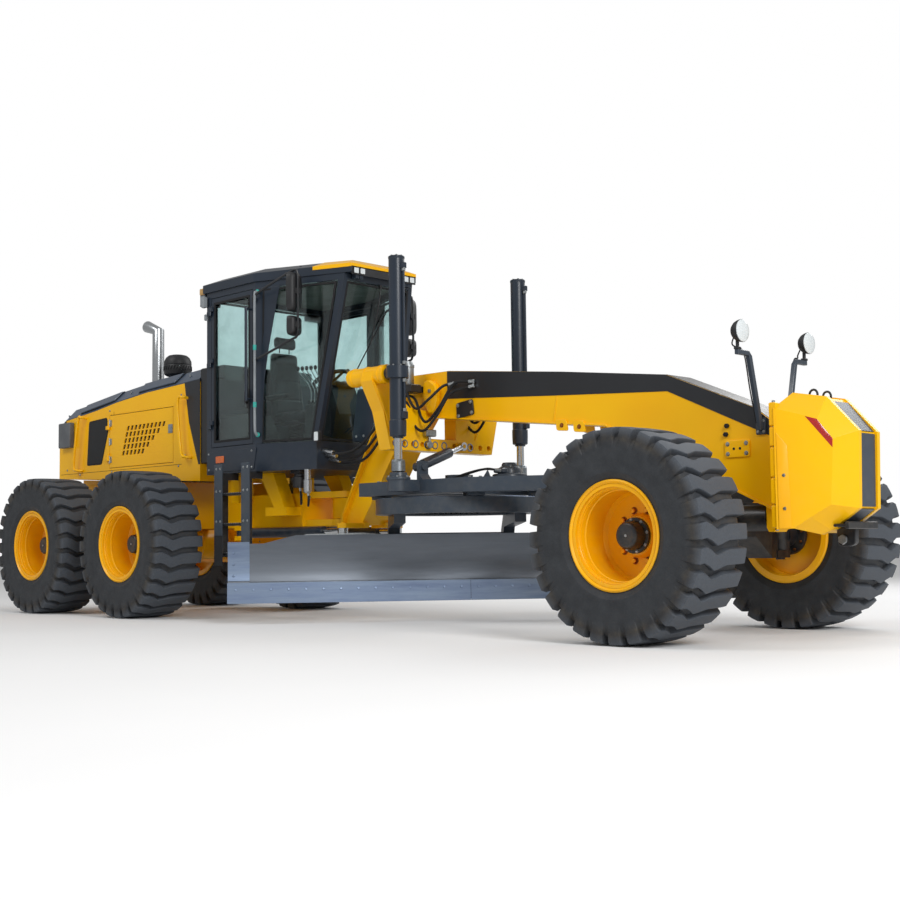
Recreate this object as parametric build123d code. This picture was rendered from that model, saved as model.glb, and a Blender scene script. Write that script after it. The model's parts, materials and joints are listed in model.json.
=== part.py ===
from build123d import *
from math import atan2, cos, degrees, hypot, pi, radians, sin
import os

# Motor grader, millimetres. X points forward, Y to the machine's left, Z up.
# The layout is drawn with X = 0 at the front axle, Y = 0 on the centre line and
# Z = 0 on the ground. Each piece is moved by SHIFT when it is written, so that
# the origin lies below the middle of the whole machine.

# Wheels and axles
WHEELBASE = 6874          # front axle to the middle of the tandem
TANDEM_SPACING = 1738
TRACK = 2113
TYRE_RADIUS = 720         # over the lugs
TYRE_WIDTH = 524
LUG_HEIGHT = 44
LUG_COUNT = 24
RIM_SEAT_RADIUS = 318
RIM_FLANGE_RADIUS = 368
RIM_WIDTH = 480           # over the flanges
RIM_WALL = 14
DISC_INSET = 80           # wheel disc, inboard of the tyre's middle
DISC_THICKNESS = 22
HUB_RADIUS = 150
HUB_CAP_RADIUS = 96
HUB_CAP_DEPTH = 118
SPINDLE_RADIUS = 60
FIT = 0.3                 # running clearance at pins and bearings
BOLT_RADIUS = 14
DISC_BOLTS = 10
DISC_BOLT_CIRCLE = 175
LUG_PITCH = 2 * pi * TYRE_RADIUS / LUG_COUNT
LUG_HALF = LUG_PITCH * 0.31
# one lug across the tread, as (share of the width, lead as a share of the pitch)
LUG_LINE = [(-0.5, -0.06), (-0.02, -0.06), (0.14, 0.22), (0.34, -0.22), (0.5, -0.06)]
LUG_REACH = LUG_PITCH * max(abs(s) for _, s in LUG_LINE) + LUG_HALF
LUG_TOP = (TYRE_RADIUS ** 2 - LUG_REACH ** 2) ** 0.5
# standing height: the lowest lug corner touches the ground
AXLE_Z = max(
    LUG_TOP * cos(2 * pi * k / LUG_COUNT) + x * sin(2 * pi * k / LUG_COUNT)
    for k in range(LUG_COUNT)
    for x in [LUG_PITCH * s + e * LUG_HALF for _, s in LUG_LINE for e in (-1, 1)]
)
REAR_AXLE_X = [-WHEELBASE + TANDEM_SPACING / 2, -WHEELBASE - TANDEM_SPACING / 2]
WHEEL_Y = TRACK / 2

# Front axle and steering
KINGPIN_Y = 760
KINGPIN_RADIUS = 34
KNUCKLE_RADIUS = 74
KNUCKLE_HEIGHT = 230
YOKE_ARM = 58
AXLE_DEPTH = 210          # along X
AXLE_PIN_Z = 830
AXLE_PIN_RADIUS = 45
STEER_ARM_X = -250
STEER_ARM_Y = KINGPIN_Y   # straight behind the kingpin, so the tie rod keeps its length
STEER_LIMIT = 45

# Articulation
ARTIC_X = -4150
ARTIC_PIN_RADIUS = 55
ARTIC_LUG_RADIUS = 165
ARTIC_TOP = 1180
ARTIC_BOTTOM = 860
ARTIC_PLATE = 60
ARTIC_LIMIT = 20

# Rear frame
RAIL_Y = 300              # outer face of the side plates
RAIL_WALL = 40
RAIL_TOP = 1170
RAIL_BOTTOM = 860
REAR_END_X = -WHEELBASE - 1526
RAIL_FRONT_X = -4420
TANDEM_CASE_Y = 560
TANDEM_CASE_WIDTH = 205
TANDEM_CASE_RADIUS = 205
REAR_AXLE_RADIUS = 170
HITCH_X = REAR_END_X - 60
HITCH_HOLE = 26

# Hood
HOOD_REAR_X = REAR_END_X - 80
HOOD_FRONT_X = -5700
HOOD_Y = 560
HOOD_WALL = 12
HOOD_BOTTOM_REAR = 1470
HOOD_BOTTOM_FRONT = 1330
HOOD_TOP_REAR = 2160
HOOD_TOP_FRONT = 2440
HOOD_CHAMFER = 120
HOOD_DOOR_REAR_X = HOOD_REAR_X + 1080
HOOD_DOOR_FRONT_X = HOOD_FRONT_X - 480
HOOD_DOOR_BOTTOM = 1545
HOOD_DOOR_TOP = 2110
PANEL_GAP = 6
ENGINE_TOP = 1960
EXHAUST_X = HOOD_REAR_X + 1150
CLEANER_X = EXHAUST_X + 390

# Cab
CAB_REAR_X = -5310
CAB_B_X = -4540
CAB_A_X = -3930           # windscreen's lower corner
CAB_A_TOP_X = -3650       # windscreen's upper corner
CAB_Y = 750
CAB_A_Y = 525
CAB_A_TOP_Y = 420
CAB_BOTTOM = 1365
SILL_TOP = 1600
ROOF_TOP = 3270
ROOF_HEIGHT = 140
GLASS_TOP = ROOF_TOP - ROOF_HEIGHT
REAR_PANE_BOTTOM = GLASS_TOP - 830
PILLAR = 70
GLASS = 8
VISOR_X = -3580
VISOR_Y = 370
CAB_DOOR_MARGIN = 30
CAB_DOOR_DEPTH = 45
HINGE_RADIUS = 16
HINGE_PIN = 8
CAB_HINGES = [SILL_TOP + 200, (SILL_TOP + GLASS_TOP) / 2 + 35, GLASS_TOP - 230]
HOOD_HINGES = [1620, 1960]
CAB_HINGE_X = CAB_REAR_X + PILLAR + PANEL_GAP / 2
HOOD_HINGE_X = HOOD_DOOR_REAR_X - PANEL_GAP / 2

# Front frame, side outline as (x, z) of the beam's corners
FRAME_Y = 160
FRAME_OUTLINE = [
    (-3980, 940), (-3590, 1600), (-3240, 2150), (-2610, 2150), (-1365, 2018),
    (-350, 1894), (380, 1594), (500, 1500), (500, 884), (-930, 1559),
    (-1440, 1611), (-2240, 1700), (-3050, 1790), (-3290, 1500), (-3740, 860),
    (-3980, 860),
]
SADDLE_X = -2910
SADDLE_DEPTH = 140
LOCK_BAR_Z = 1530
LOCK_BAR_HEIGHT = 110
LOCK_BAR_HOLES = [140, 250, 360, 470, 580]
LOCK_HOLE_RADIUS = 24

# Counterweight
CWT_REAR_X = 670
CWT_SIDE_X = 1106
CWT_FRONT_X = 1150
CWT_Y = 410
CWT_RIDGE_Y = 150
CWT_BOTTOM = 720
TOW_X = 960
TOW_Z = 672
TOW_HOLE = 24

# Blade lift cylinders
LIFT_X = -2610
LIFT_Y = 750
LIFT_YOKE_Z = 2090
LIFT_TOP_Z = 3040
LIFT_FOOT_Z = 1600
LIFT_EYE_Z = 1310
LIFT_BARREL_RADIUS = 66
LIFT_ROD_RADIUS = 33
LIFT_BALL_RADIUS = 38
LIFT_CAP_GAP = 6          # the rod's cap stands clear of the drawbar's ball
LIFT_BALL_Z = LIFT_EYE_Z - 40 - LIFT_CAP_GAP - LIFT_BALL_RADIUS
YOKE_RADIUS = 75

# Drawbar, circle and blade
BALL_X = -550
BALL_Z = 1120
BALL_RADIUS = 75
COUPLING_Y = 88           # inner faces of the frame's cheeks at the drawbar ball
COUPLING_PIN = 30
DRAWBAR_TOP = 1205
DRAWBAR_BOTTOM = 1090
CIRCLE_X = -2650
CIRCLE_RADIUS = 720
CIRCLE_INNER = 590
CIRCLE_TOP = 1060
CIRCLE_BOTTOM = 930
CIRCLE_ANGLE = -38.3      # from square across the machine
CIRCLE_TEETH = 40
BLADE_LENGTH = 4270
BLADE_SHIFT = 145         # blade's middle, towards its left end
BLADE_SET_BACK = 419      # cutting edge behind the circle's middle
BLADE_BOTTOM = 180
BLADE_TOP = 770
BLADE_DEPTH = 100
BLADE_THICKNESS = 22
EDGE_HEIGHT = 180
EDGE_THICKNESS = 19
TILT_X = 640              # behind the circle's middle
TILT_Z = 340
TILT_PIN_RADIUS = 32
ARM_Y = 520
ARM_WIDTH = 100
RAIL_LENGTH = 2400
RAIL_Z = (390, 600)
RAIL_DEPTH = 40

# Centre shift cylinder
SHIFT_TOP = (-2800, 200, 1530)   # rod's eye at the saddle
SHIFT_EYE = (-2640, -500, 1320)  # barrel's eye at the drawbar
SHIFT_BARREL_RADIUS = 45
SHIFT_ROD_RADIUS = 22
SHIFT_EYE_SIZE = 46
SHIFT_PIN = 18
SHIFT_CLOSED = 512
SHIFT_INNER = 284                # rod's inner end from the barrel's eye
SHIFT_EAR_GAP = 18

# Articulation cylinders
ARTIC_CYL_REAR = (-5250, 385, 805)
ARTIC_CYL_EYE = (-3800, 330, 805)
ARTIC_BARREL_RADIUS = 48
ARTIC_EYE_HALF = 26        # the blade's top passes below the rod's eye
ARTIC_ROD_RADIUS = 25
ARTIC_PIN = 22
EAR_HALF = ARTIC_EYE_HALF + FIT   # ears' inner faces from the cylinder's centre line

# Machine's middle, for the shift of the written pieces
MACHINE_FRONT_X = CWT_FRONT_X
MACHINE_REAR_X = HOOD_REAR_X - 120
BLADE_DIR = radians(90 + CIRCLE_ANGLE)
BLADE_LEFT_Y = (BLADE_LENGTH / 2 + BLADE_SHIFT) * sin(BLADE_DIR) \
    + BLADE_SET_BACK * sin(BLADE_DIR + pi / 2)
MACHINE_RIGHT_Y = -(WHEEL_Y + TYRE_WIDTH / 2)
SHIFT_X = -(MACHINE_FRONT_X + MACHINE_REAR_X) / 2
SHIFT_Y = -(BLADE_LEFT_Y + MACHINE_RIGHT_Y) / 2

# Shape helpers
UP = (0, 0, 1)


def block(x0, x1, y0, y1, z0, z1):
    middle = Pos((x0 + x1) / 2, (y0 + y1) / 2, (z0 + z1) / 2)
    return middle * Box(abs(x1 - x0), abs(y1 - y0), abs(z1 - z0))


def outline(points):
    return Face(Wire.make_polygon([Vector(*p) for p in points], close=True))


def slab_y(points, y0, y1):
    face = outline([(x, y0, z) for x, z in points])
    return extrude(face, amount=y1 - y0, dir=(0, 1, 0))


def slab_z(points, z0, z1):
    face = outline([(x, y, z0) for x, y in points])
    return extrude(face, amount=z1 - z0, dir=(0, 0, 1))


def slab_x(points, x0, x1):
    face = outline([(x0, y, z) for y, z in points])
    return extrude(face, amount=x1 - x0, dir=(1, 0, 0))


def bar(a, b, radius):
    a, b = Vector(*a), Vector(*b)
    plane = Plane(origin=a, z_dir=b - a)
    face = plane * Circle(radius)
    return extrude(face, amount=(b - a).length, dir=b - a)


def turned(profile, centre=(0, 0, 0), axis=(0, 1, 0)):
    # profile lists (distance along the axis, radius) round a closed section
    face = outline([(r, w, 0) for w, r in profile])
    solid = revolve(face, axis=Axis((0, 0, 0), (0, 1, 0)))
    if tuple(axis) == (0, 0, 1):
        solid = Rot(90, 0, 0) * solid
    if tuple(axis) == (1, 0, 0):
        solid = Rot(0, 0, -90) * solid
    return Pos(*centre) * solid


def mirrored(shape):
    return mirror(shape, about=Plane.XZ)


def fuse(parts):
    whole = parts[0]
    for piece in parts[1:]:
        whole = whole + piece
    return whole


def cut(body, tools):
    for tool in tools:
        body = body - tool
    return body


def hinge_pair(x, y, z, out):
    # knuckle and pin for the frame, knuckle for the door, leaves on the outer face
    face = y + 17 * (1 if y < 0 else -1)
    fixed = bar((x, y, z), (x, y, z + 40), HINGE_RADIUS) + bar((x, y, z), (x, y, z + 84), HINGE_PIN)
    fixed = fixed + block(x - 46, x, y + out * 6, face - out * 5, z, z + 40)
    moving = bar((x, y, z + 40 + FIT), (x, y, z + 80), HINGE_RADIUS)
    moving = moving + block(x, x + 46, y + out * 6, face - out * 5, z + 40 + FIT, z + 80)
    moving = moving - bar((x, y, z), (x, y, z + 100), HINGE_PIN + FIT)
    return fixed, moving


PIECES = {}


def piece(name, shape):
    PIECES[name] = shape


# Tyre, axis along Y at the origin, same both ways
half = TYRE_WIDTH / 2
bead = RIM_WIDTH / 2 - 15.5
tread = TYRE_RADIUS - LUG_HEIGHT
carcass = turned([
    (-bead, RIM_SEAT_RADIUS + FIT), (-bead, RIM_FLANGE_RADIUS + 4),
    (-half + 6, RIM_FLANGE_RADIUS + 92), (-half, RIM_FLANGE_RADIUS + 170),
    (-half + 36, tread - 22), (-half + 92, tread),
    (half - 92, tread), (half - 36, tread - 22), (half, RIM_FLANGE_RADIUS + 170),
    (half - 6, RIM_FLANGE_RADIUS + 92), (bead, RIM_FLANGE_RADIUS + 4),
    (bead, RIM_SEAT_RADIUS + FIT),
])
lug_base = RIM_FLANGE_RADIUS + 190


def lug_outline(inset, end, z):
    line = [(-end, LUG_LINE[0][1])] + LUG_LINE[1:-1]
    (w0, s0), (w1, s1) = LUG_LINE[-2:]
    line.append((end, s0 + (s1 - s0) * (end - w0) / (w1 - w0)))
    ahead = [(LUG_PITCH * s + LUG_HALF - inset, TYRE_WIDTH * w, z) for w, s in line]
    behind = [(LUG_PITCH * s - LUG_HALF + inset, TYRE_WIDTH * w, z) for w, s in line]
    return outline(ahead + behind[::-1])


lug = loft([lug_outline(-12, 0.5, lug_base), lug_outline(0, 0.44, LUG_TOP)], ruled=True)
tyre = carcass
lugs = [Rot(0, 360 / LUG_COUNT * i, 0) * lug for i in range(LUG_COUNT)]
tyre = carcass.fuse(*lugs)

# Rim with its hub, outer side towards -Y
rw = RIM_WIDTH / 2
rs, rf = RIM_SEAT_RADIUS, RIM_FLANGE_RADIUS
rim = turned([
    (-rw, rf - 12), (-rw + 8, rf), (-rw + 15, rf), (-rw + 15, rs), (rw - 15, rs),
    (rw - 15, rf), (rw - 8, rf), (rw, rf - 12), (rw, rs - 4), (rw - 30, rs - RIM_WALL),
    (DISC_INSET + DISC_THICKNESS, rs - RIM_WALL), (DISC_INSET + DISC_THICKNESS, SPINDLE_RADIUS + FIT),
    (DISC_INSET - 60, SPINDLE_RADIUS + FIT), (DISC_INSET - 60, HUB_RADIUS - 20),
    (DISC_INSET - 12, HUB_RADIUS), (DISC_INSET, HUB_RADIUS), (DISC_INSET, rs - 34),
    (DISC_INSET - 26, rs - RIM_WALL), (-rw + 62, rs - RIM_WALL), (-rw + 62, rs - 8),
    (-rw + 34, rs - 4), (-rw + 30, rs + 10),
])
cap = turned([
    (DISC_INSET - 60, 0), (DISC_INSET - 60, HUB_CAP_RADIUS + 22),
    (DISC_INSET - 84, HUB_CAP_RADIUS + 22), (DISC_INSET - 84, HUB_CAP_RADIUS),
    (DISC_INSET - HUB_CAP_DEPTH - 40, HUB_CAP_RADIUS - 10),
    (DISC_INSET - HUB_CAP_DEPTH - 52, HUB_CAP_RADIUS - 24),
    (DISC_INSET - HUB_CAP_DEPTH - 52, 0),
])
rim = rim + cap
for i in range(DISC_BOLTS):
    a = 2 * pi * i / DISC_BOLTS
    x, z = DISC_BOLT_CIRCLE * cos(a), DISC_BOLT_CIRCLE * sin(a)
    rim = rim + bar((x, DISC_INSET - 26, z), (x, DISC_INSET + 4, z), BOLT_RADIUS)

WHEELS = [
    ("front", 0), ("middle", REAR_AXLE_X[0]), ("rear", REAR_AXLE_X[1]),
]
for place, x in WHEELS:
    piece(f"tyre_{place}_right", Pos(x, -WHEEL_Y, AXLE_Z) * tyre)
    piece(f"rim_{place}_right", Pos(x, -WHEEL_Y, AXLE_Z) * rim)
    piece(f"tyre_{place}_left", Pos(x, WHEEL_Y, AXLE_Z) * mirrored(tyre))
    piece(f"rim_{place}_left", Pos(x, WHEEL_Y, AXLE_Z) * mirrored(rim))

# Front axle: arched beam, centre tube on the oscillation pin, a yoke at each end
kn_top = AXLE_Z + KNUCKLE_HEIGHT / 2
kn_bottom = AXLE_Z - KNUCKLE_HEIGHT / 2
d = AXLE_DEPTH / 2
beam = [
    (-640, kn_bottom - YOKE_ARM), (-640, kn_top + YOKE_ARM), (-470, kn_top + YOKE_ARM),
    (-300, AXLE_PIN_Z + 115), (300, AXLE_PIN_Z + 115), (470, kn_top + YOKE_ARM),
    (640, kn_top + YOKE_ARM), (640, kn_bottom - YOKE_ARM), (480, kn_bottom - YOKE_ARM),
    (260, AXLE_PIN_Z - 130), (-260, AXLE_PIN_Z - 130), (-480, kn_bottom - YOKE_ARM),
]
axle = slab_x(beam, -d, d)
for side in (-1, 1):
    for e in (-1, 1):
        axle = axle - slab_z([(e * 56, side * 641), (e * (d + 1), side * 470), (e * (d + 1), side * 641)], 400, 1000)
axle = axle + bar((-300, 0, AXLE_PIN_Z), (400, 0, AXLE_PIN_Z), AXLE_PIN_RADIUS + 48)
axle = axle - bar((-301, 0, AXLE_PIN_Z), (401, 0, AXLE_PIN_Z), AXLE_PIN_RADIUS + FIT)
for side in (-1, 1):
    for z0, z1 in ((kn_bottom - YOKE_ARM, kn_bottom - 2), (kn_top + 2, kn_top + YOKE_ARM)):
        arm = block(-KNUCKLE_RADIUS, KNUCKLE_RADIUS, side * 600, side * KINGPIN_Y, z0, z1)
        boss = bar((0, side * KINGPIN_Y, z0), (0, side * KINGPIN_Y, z1), KNUCKLE_RADIUS)
        axle = axle + arm + boss
    pin = bar((0, side * KINGPIN_Y, kn_bottom - YOKE_ARM - 1),
              (0, side * KINGPIN_Y, kn_top + YOKE_ARM + 1), KINGPIN_RADIUS + FIT)
    axle = axle - pin
piece("front_axle", axle)

# Steering knuckle: kingpin, body, spindle and steering arm
ky = -KINGPIN_Y
knuckle = bar((0, ky, kn_bottom), (0, ky, kn_top), KNUCKLE_RADIUS)
knuckle = knuckle + bar((0, ky, kn_bottom - YOKE_ARM - 14), (0, ky, kn_top + YOKE_ARM + 14), KINGPIN_RADIUS)
knuckle = knuckle + bar((0, ky, AXLE_Z), (0, -WHEEL_Y + DISC_INSET + DISC_THICKNESS + 4, AXLE_Z), 92)
knuckle = knuckle + bar((0, ky, AXLE_Z), (0, -WHEEL_Y + DISC_INSET - 56, AXLE_Z), SPINDLE_RADIUS)
steer_arm = slab_z([
    (-20, -KINGPIN_Y - 50), (STEER_ARM_X - 34, -STEER_ARM_Y - 28),
    (STEER_ARM_X - 34, -STEER_ARM_Y + 28), (-50, -KINGPIN_Y + 28), (-20, -KINGPIN_Y + 60),
], AXLE_Z - 104, AXLE_Z - 60)
steer_arm = steer_arm - bar((STEER_ARM_X, -STEER_ARM_Y, 500), (STEER_ARM_X, -STEER_ARM_Y, 900), 16 + FIT)
knuckle = knuckle + steer_arm
piece("steering_knuckle_right", knuckle)
piece("steering_knuckle_left", mirrored(knuckle))

# Tie rod behind the axle, hung on a stud through each steering arm
tr_z = AXLE_Z - 140
tie = bar((STEER_ARM_X, -STEER_ARM_Y + 20, tr_z), (STEER_ARM_X, STEER_ARM_Y - 20, tr_z), 24)
for side in (-1, 1):
    y = side * STEER_ARM_Y
    tie = tie + bar((STEER_ARM_X, y, tr_z - 32), (STEER_ARM_X, y, tr_z + 32), 36)
    tie = tie + bar((STEER_ARM_X, y, tr_z), (STEER_ARM_X, y, AXLE_Z - 52), 16)
piece("tie_rod", tie)

# Front frame: box beam, axle pin lugs, drawbar socket, tongue at the articulation
front = slab_y(FRAME_OUTLINE, -FRAME_Y, FRAME_Y)
flange_rear = [(-3980, 860), (-3980, 940), (-3590, 1600), (-3240, 2150), (-3215, 2150),
               (-3560, 1600), (-3950, 930), (-3950, 860)]
front = front + slab_y(flange_rear, -FRAME_Y - 40, FRAME_Y + 40)
pin_mid = AXLE_PIN_Z
lug_front = [(500, 1000), (500, 770), (460, 730), (420, 730), (404, 760), (404, 1000)]
lug_rear = [(-304, 1200), (-304, 760), (-330, 730), (-380, 730), (-400, 760), (-400, 1250)]
front = front + slab_y(lug_front, -80, 80) + slab_y(lug_rear, -100, 100)
front = front + bar((-400, 0, pin_mid), (500, 0, pin_mid), AXLE_PIN_RADIUS)
cheek = [(-650, 1400), (-625, BALL_Z - 60), (-590, BALL_Z - 90), (-510, BALL_Z - 90),
         (-475, BALL_Z - 60), (-440, 1340)]
for side in (-1, 1):
    front = front + slab_y(cheek, side * COUPLING_Y, side * (COUPLING_Y + 34))
front = front - bar((BALL_X, -200, BALL_Z), (BALL_X, 200, BALL_Z), COUPLING_PIN + FIT)
tongue_z0 = ARTIC_BOTTOM + ARTIC_PLATE + 5
tongue_z1 = ARTIC_TOP - ARTIC_PLATE - 5
tongue = block(ARTIC_X, -3800, -120, 120, tongue_z0, tongue_z1)
tongue = tongue + bar((ARTIC_X, 0, tongue_z0), (ARTIC_X, 0, tongue_z1), 120)
relief = bar((ARTIC_X, 0, tongue_z1 + 0.01), (ARTIC_X, 0, ARTIC_TOP + 40), ARTIC_LUG_RADIUS + 12)
relief_low = bar((ARTIC_X, 0, ARTIC_BOTTOM - 10), (ARTIC_X, 0, tongue_z0 - 0.01), ARTIC_LUG_RADIUS + 12)
front = cut(front, [relief, relief_low]) + tongue
front = front - bar((ARTIC_X, 0, 800), (ARTIC_X, 0, 1300), ARTIC_PIN_RADIUS + FIT)
ear_x, ear_y, ear_z = ARTIC_CYL_EYE
for side in (-1, 1):
    front = front + bar((ear_x, side * ear_y, ear_z + 78), (ear_x, side * ear_y, ear_z + 50), 26)
    ear = slab_z([(-3900, side * 100), (ear_x - 60, side * (ear_y + 20)),
                  (ear_x, side * (ear_y + 60)), (ear_x + 60, side * (ear_y + 20)),
                  (-3700, side * 100)], ear_z + EAR_HALF, ear_z + 70)
    front = front + ear + block(-3900, -3700, side * 100, side * FRAME_Y, ear_z + EAR_HALF, 880)
piece("front_frame", front)

# Saddle: lift arms, yoke bearings and the lock bar with its holes
sx0, sx1 = SADDLE_X - SADDLE_DEPTH / 2, SADDLE_X + SADDLE_DEPTH / 2
saddle = block(sx0, sx1, -620, 620, LOCK_BAR_Z - LOCK_BAR_HEIGHT / 2, LOCK_BAR_Z + LOCK_BAR_HEIGHT / 2)
for side in (-1, 1):
    arm = slab_x([(side * 620, 1475), (side * 700, 1800), (side * 830, 2040),
                  (side * 825, 2120), (side * 690, 2150), (side * 560, 1960),
                  (side * 400, 1840), (side * (FRAME_Y + FIT), 1820), (side * (FRAME_Y + FIT), 1560),
                  (side * 300, 1475)], sx0, sx1)
    tube = bar((SADDLE_X - 260, side * LIFT_Y, LIFT_YOKE_Z),
               (LIFT_X - LIFT_BARREL_RADIUS - 46, side * LIFT_Y, LIFT_YOKE_Z), YOKE_RADIUS)
    saddle = saddle + arm + tube
for hole in LOCK_BAR_HOLES:
    for side in (-1, 1):
        saddle = saddle - bar((sx0 - 1, side * hole, LOCK_BAR_Z), (sx1 + 1, side * hole, LOCK_BAR_Z), LOCK_HOLE_RADIUS)
sh = SHIFT_TOP
eye_half = SHIFT_EYE_SIZE * 0.55 + FIT
saddle = saddle + bar((sx1 - 5, sh[1], sh[2]), (sh[0] - eye_half, sh[1], sh[2]), 34)
saddle = saddle + bar((sx1 - 5, sh[1], sh[2]), (sh[0] + eye_half, sh[1], sh[2]), SHIFT_PIN)
piece("blade_saddle", saddle)

# Counterweight: two faceted halves joined at the back, with a strip between
cwt = slab_y([
    (CWT_REAR_X, 790), (CWT_REAR_X, 1600), (980, 1630), (1120, 1421), (CWT_FRONT_X, 1380),
    (CWT_FRONT_X, 920), (1120, 880), (1000, CWT_BOTTOM), (860, CWT_BOTTOM),
], -CWT_Y, CWT_Y)
for side in (-1, 1):
    wedge = slab_z([(CWT_FRONT_X + 60, side * CWT_RIDGE_Y), (1000, side * (CWT_Y + 1)),
                    (CWT_FRONT_X + 60, side * (CWT_Y + 60))], 600, 1700)
    cwt = cwt - wedge
    low = slab_x([(side * 250, CWT_BOTTOM - 10), (side * (CWT_Y + 10), 860),
                  (side * (CWT_Y + 10), CWT_BOTTOM - 10)], CWT_REAR_X - 1, CWT_FRONT_X + 1)
    cwt = cwt - low
strip_gap = CWT_RIDGE_Y - 40
cwt = cwt - block(1090, CWT_FRONT_X + 1, -strip_gap, strip_gap, 860, 1480)
cwt = cwt + block(500, CWT_REAR_X, -FRAME_Y, FRAME_Y, 900, 1480)
tow = slab_y([(900, CWT_BOTTOM + 5), (1040, CWT_BOTTOM + 60), (1030, TOW_Z - 30), (990, TOW_Z - 48), (930, TOW_Z - 48),
              (900, TOW_Z - 20)], -25, 25)
cwt = cwt + (tow - bar((TOW_X, -30, TOW_Z), (TOW_X, 30, TOW_Z), TOW_HOLE))
piece("counterweight", cwt)

# Front lamps on bent arms
lamps = None
for side in (-1, 1):
    foot = block(400, 470, side * (FRAME_Y + FIT), side * (FRAME_Y + 40), 1440, 1510)
    low_bar = bar((435, side * (FRAME_Y + 22), 1475), (440, side * 315, 1930), 16)
    high_bar = bar((440, side * 315, 1930), (475, side * 430, 1975), 14)
    bowl = turned([(0, 0), (0, 72), (60, 76), (72, 76), (72, 0)], (0, 0, 0), (1, 0, 0))
    lamp = Pos(420, side * 438, 2085) * bowl
    stem = bar((460, side * 434, 1975), (460, side * 438, 2030), 12)
    group = fuse([foot, low_bar, high_bar, stem, lamp])
    lamps = group if lamps is None else lamps + group
piece("front_lamps", lamps)

# Rear frame: two side plates with their brackets, cross members, articulation head
rail_outline = [(REAR_END_X, 1060), (REAR_END_X, RAIL_TOP + 290), (-5900, RAIL_TOP + 160),
                (-5500, RAIL_TOP + 160), (-5380, RAIL_TOP), (RAIL_FRONT_X, RAIL_TOP),
                (RAIL_FRONT_X, RAIL_BOTTOM), (REAR_END_X + 400, RAIL_BOTTOM)]
rail_in = RAIL_Y - RAIL_WALL - FIT
bx, by, bz = ARTIC_CYL_REAR
rear = None
for side in (-1, 1):
    plate = slab_y(rail_outline, side * (RAIL_Y - RAIL_WALL), side * RAIL_Y)
    brace = slab_y([(-4860, CAB_BOTTOM), (-4640, CAB_BOTTOM), (-4470, 1030), (-4600, 1000)],
                   side * 330, side * 470)
    plate = plate + block(-4760, -4440, side * (RAIL_Y - 5), side * 470, 960, 1040) + brace
    plate = plate + block(-5300, -5180, side * (RAIL_Y - 5), side * 470, 1100, CAB_BOTTOM)
    for z0, z1 in ((bz - 70, bz - EAR_HALF), (bz + EAR_HALF, bz + 70)):
        plate = plate + block(bx - 50, bx + 50, side * (RAIL_Y - 20), side * (by + 50), z0, z1)
    plate = plate + block(bx - 50, bx + 50, side * (RAIL_Y - 20), side * RAIL_Y, bz - 70, 900)
    plate = plate - bar((bx, side * by, 700), (bx, side * by, 900), ARTIC_PIN + FIT)
    plate = plate - bar((-WHEELBASE, -RAIL_Y - 1, AXLE_Z), (-WHEELBASE, RAIL_Y + 1, AXLE_Z), REAR_AXLE_RADIUS + FIT)
    rear = plate if rear is None else rear + plate
for x0, x1, z0, z1 in [(-WHEELBASE - 226, -WHEELBASE + 224, 970, 1150), (-5560, -5440, 900, 1120)]:
    rear = rear + block(x0, x1, -rail_in, rail_in, z0, z1)
hitch = block(REAR_END_X - 110, REAR_END_X + 10, -70, 70, 1090, 1140)
hitch = hitch + block(REAR_END_X, REAR_END_X + 60, -rail_in, rail_in, 1060, 1440)
rear = rear + (hitch - bar((HITCH_X, 0, 1000), (HITCH_X, 0, 1200), HITCH_HOLE))
head = block(-4520, RAIL_FRONT_X, -rail_in, rail_in, RAIL_BOTTOM, RAIL_TOP)
for z0, z1 in ((ARTIC_BOTTOM, ARTIC_BOTTOM + ARTIC_PLATE), (ARTIC_TOP - ARTIC_PLATE, ARTIC_TOP)):
    lug = slab_z([(-4520, -rail_in), (RAIL_FRONT_X, -rail_in), (ARTIC_X, -ARTIC_LUG_RADIUS),
                  (ARTIC_X, ARTIC_LUG_RADIUS), (RAIL_FRONT_X, rail_in), (-4520, rail_in)], z0, z1)
    head = head + lug + bar((ARTIC_X, 0, z0), (ARTIC_X, 0, z1), ARTIC_LUG_RADIUS)
head = head + bar((ARTIC_X, 0, ARTIC_BOTTOM - 10), (ARTIC_X, 0, ARTIC_TOP + 10), ARTIC_PIN_RADIUS)
rear = rear + head
piece("rear_frame", rear)

# Rear axle housing across the frame, between the tandem cases
axle_rear = bar((-WHEELBASE, -TANDEM_CASE_Y, AXLE_Z), (-WHEELBASE, TANDEM_CASE_Y, AXLE_Z), REAR_AXLE_RADIUS)
axle_rear = axle_rear + turned([(-210, 0), (-210, 160), (-120, 240), (120, 240), (210, 160), (210, 0)],
                               (-WHEELBASE, 0, AXLE_Z))
piece("rear_axle_housing", axle_rear)

# Tandem case with its wheel spindles
y0, y1 = -TANDEM_CASE_Y - FIT, -TANDEM_CASE_Y - TANDEM_CASE_WIDTH
case = block(REAR_AXLE_X[1], REAR_AXLE_X[0], y0, y1, AXLE_Z - TANDEM_CASE_RADIUS, AXLE_Z + TANDEM_CASE_RADIUS)
for x in REAR_AXLE_X:
    case = case + bar((x, y0, AXLE_Z), (x, y1, AXLE_Z), TANDEM_CASE_RADIUS)
    case = case + bar((x, y1, AXLE_Z), (x, -WHEEL_Y + DISC_INSET + DISC_THICKNESS + 4, AXLE_Z), 130)
    case = case + bar((x, y1, AXLE_Z), (x, -WHEEL_Y + DISC_INSET - 56, AXLE_Z), SPINDLE_RADIUS)
piece("tandem_case_right", case)
piece("tandem_case_left", mirrored(case))

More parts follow.
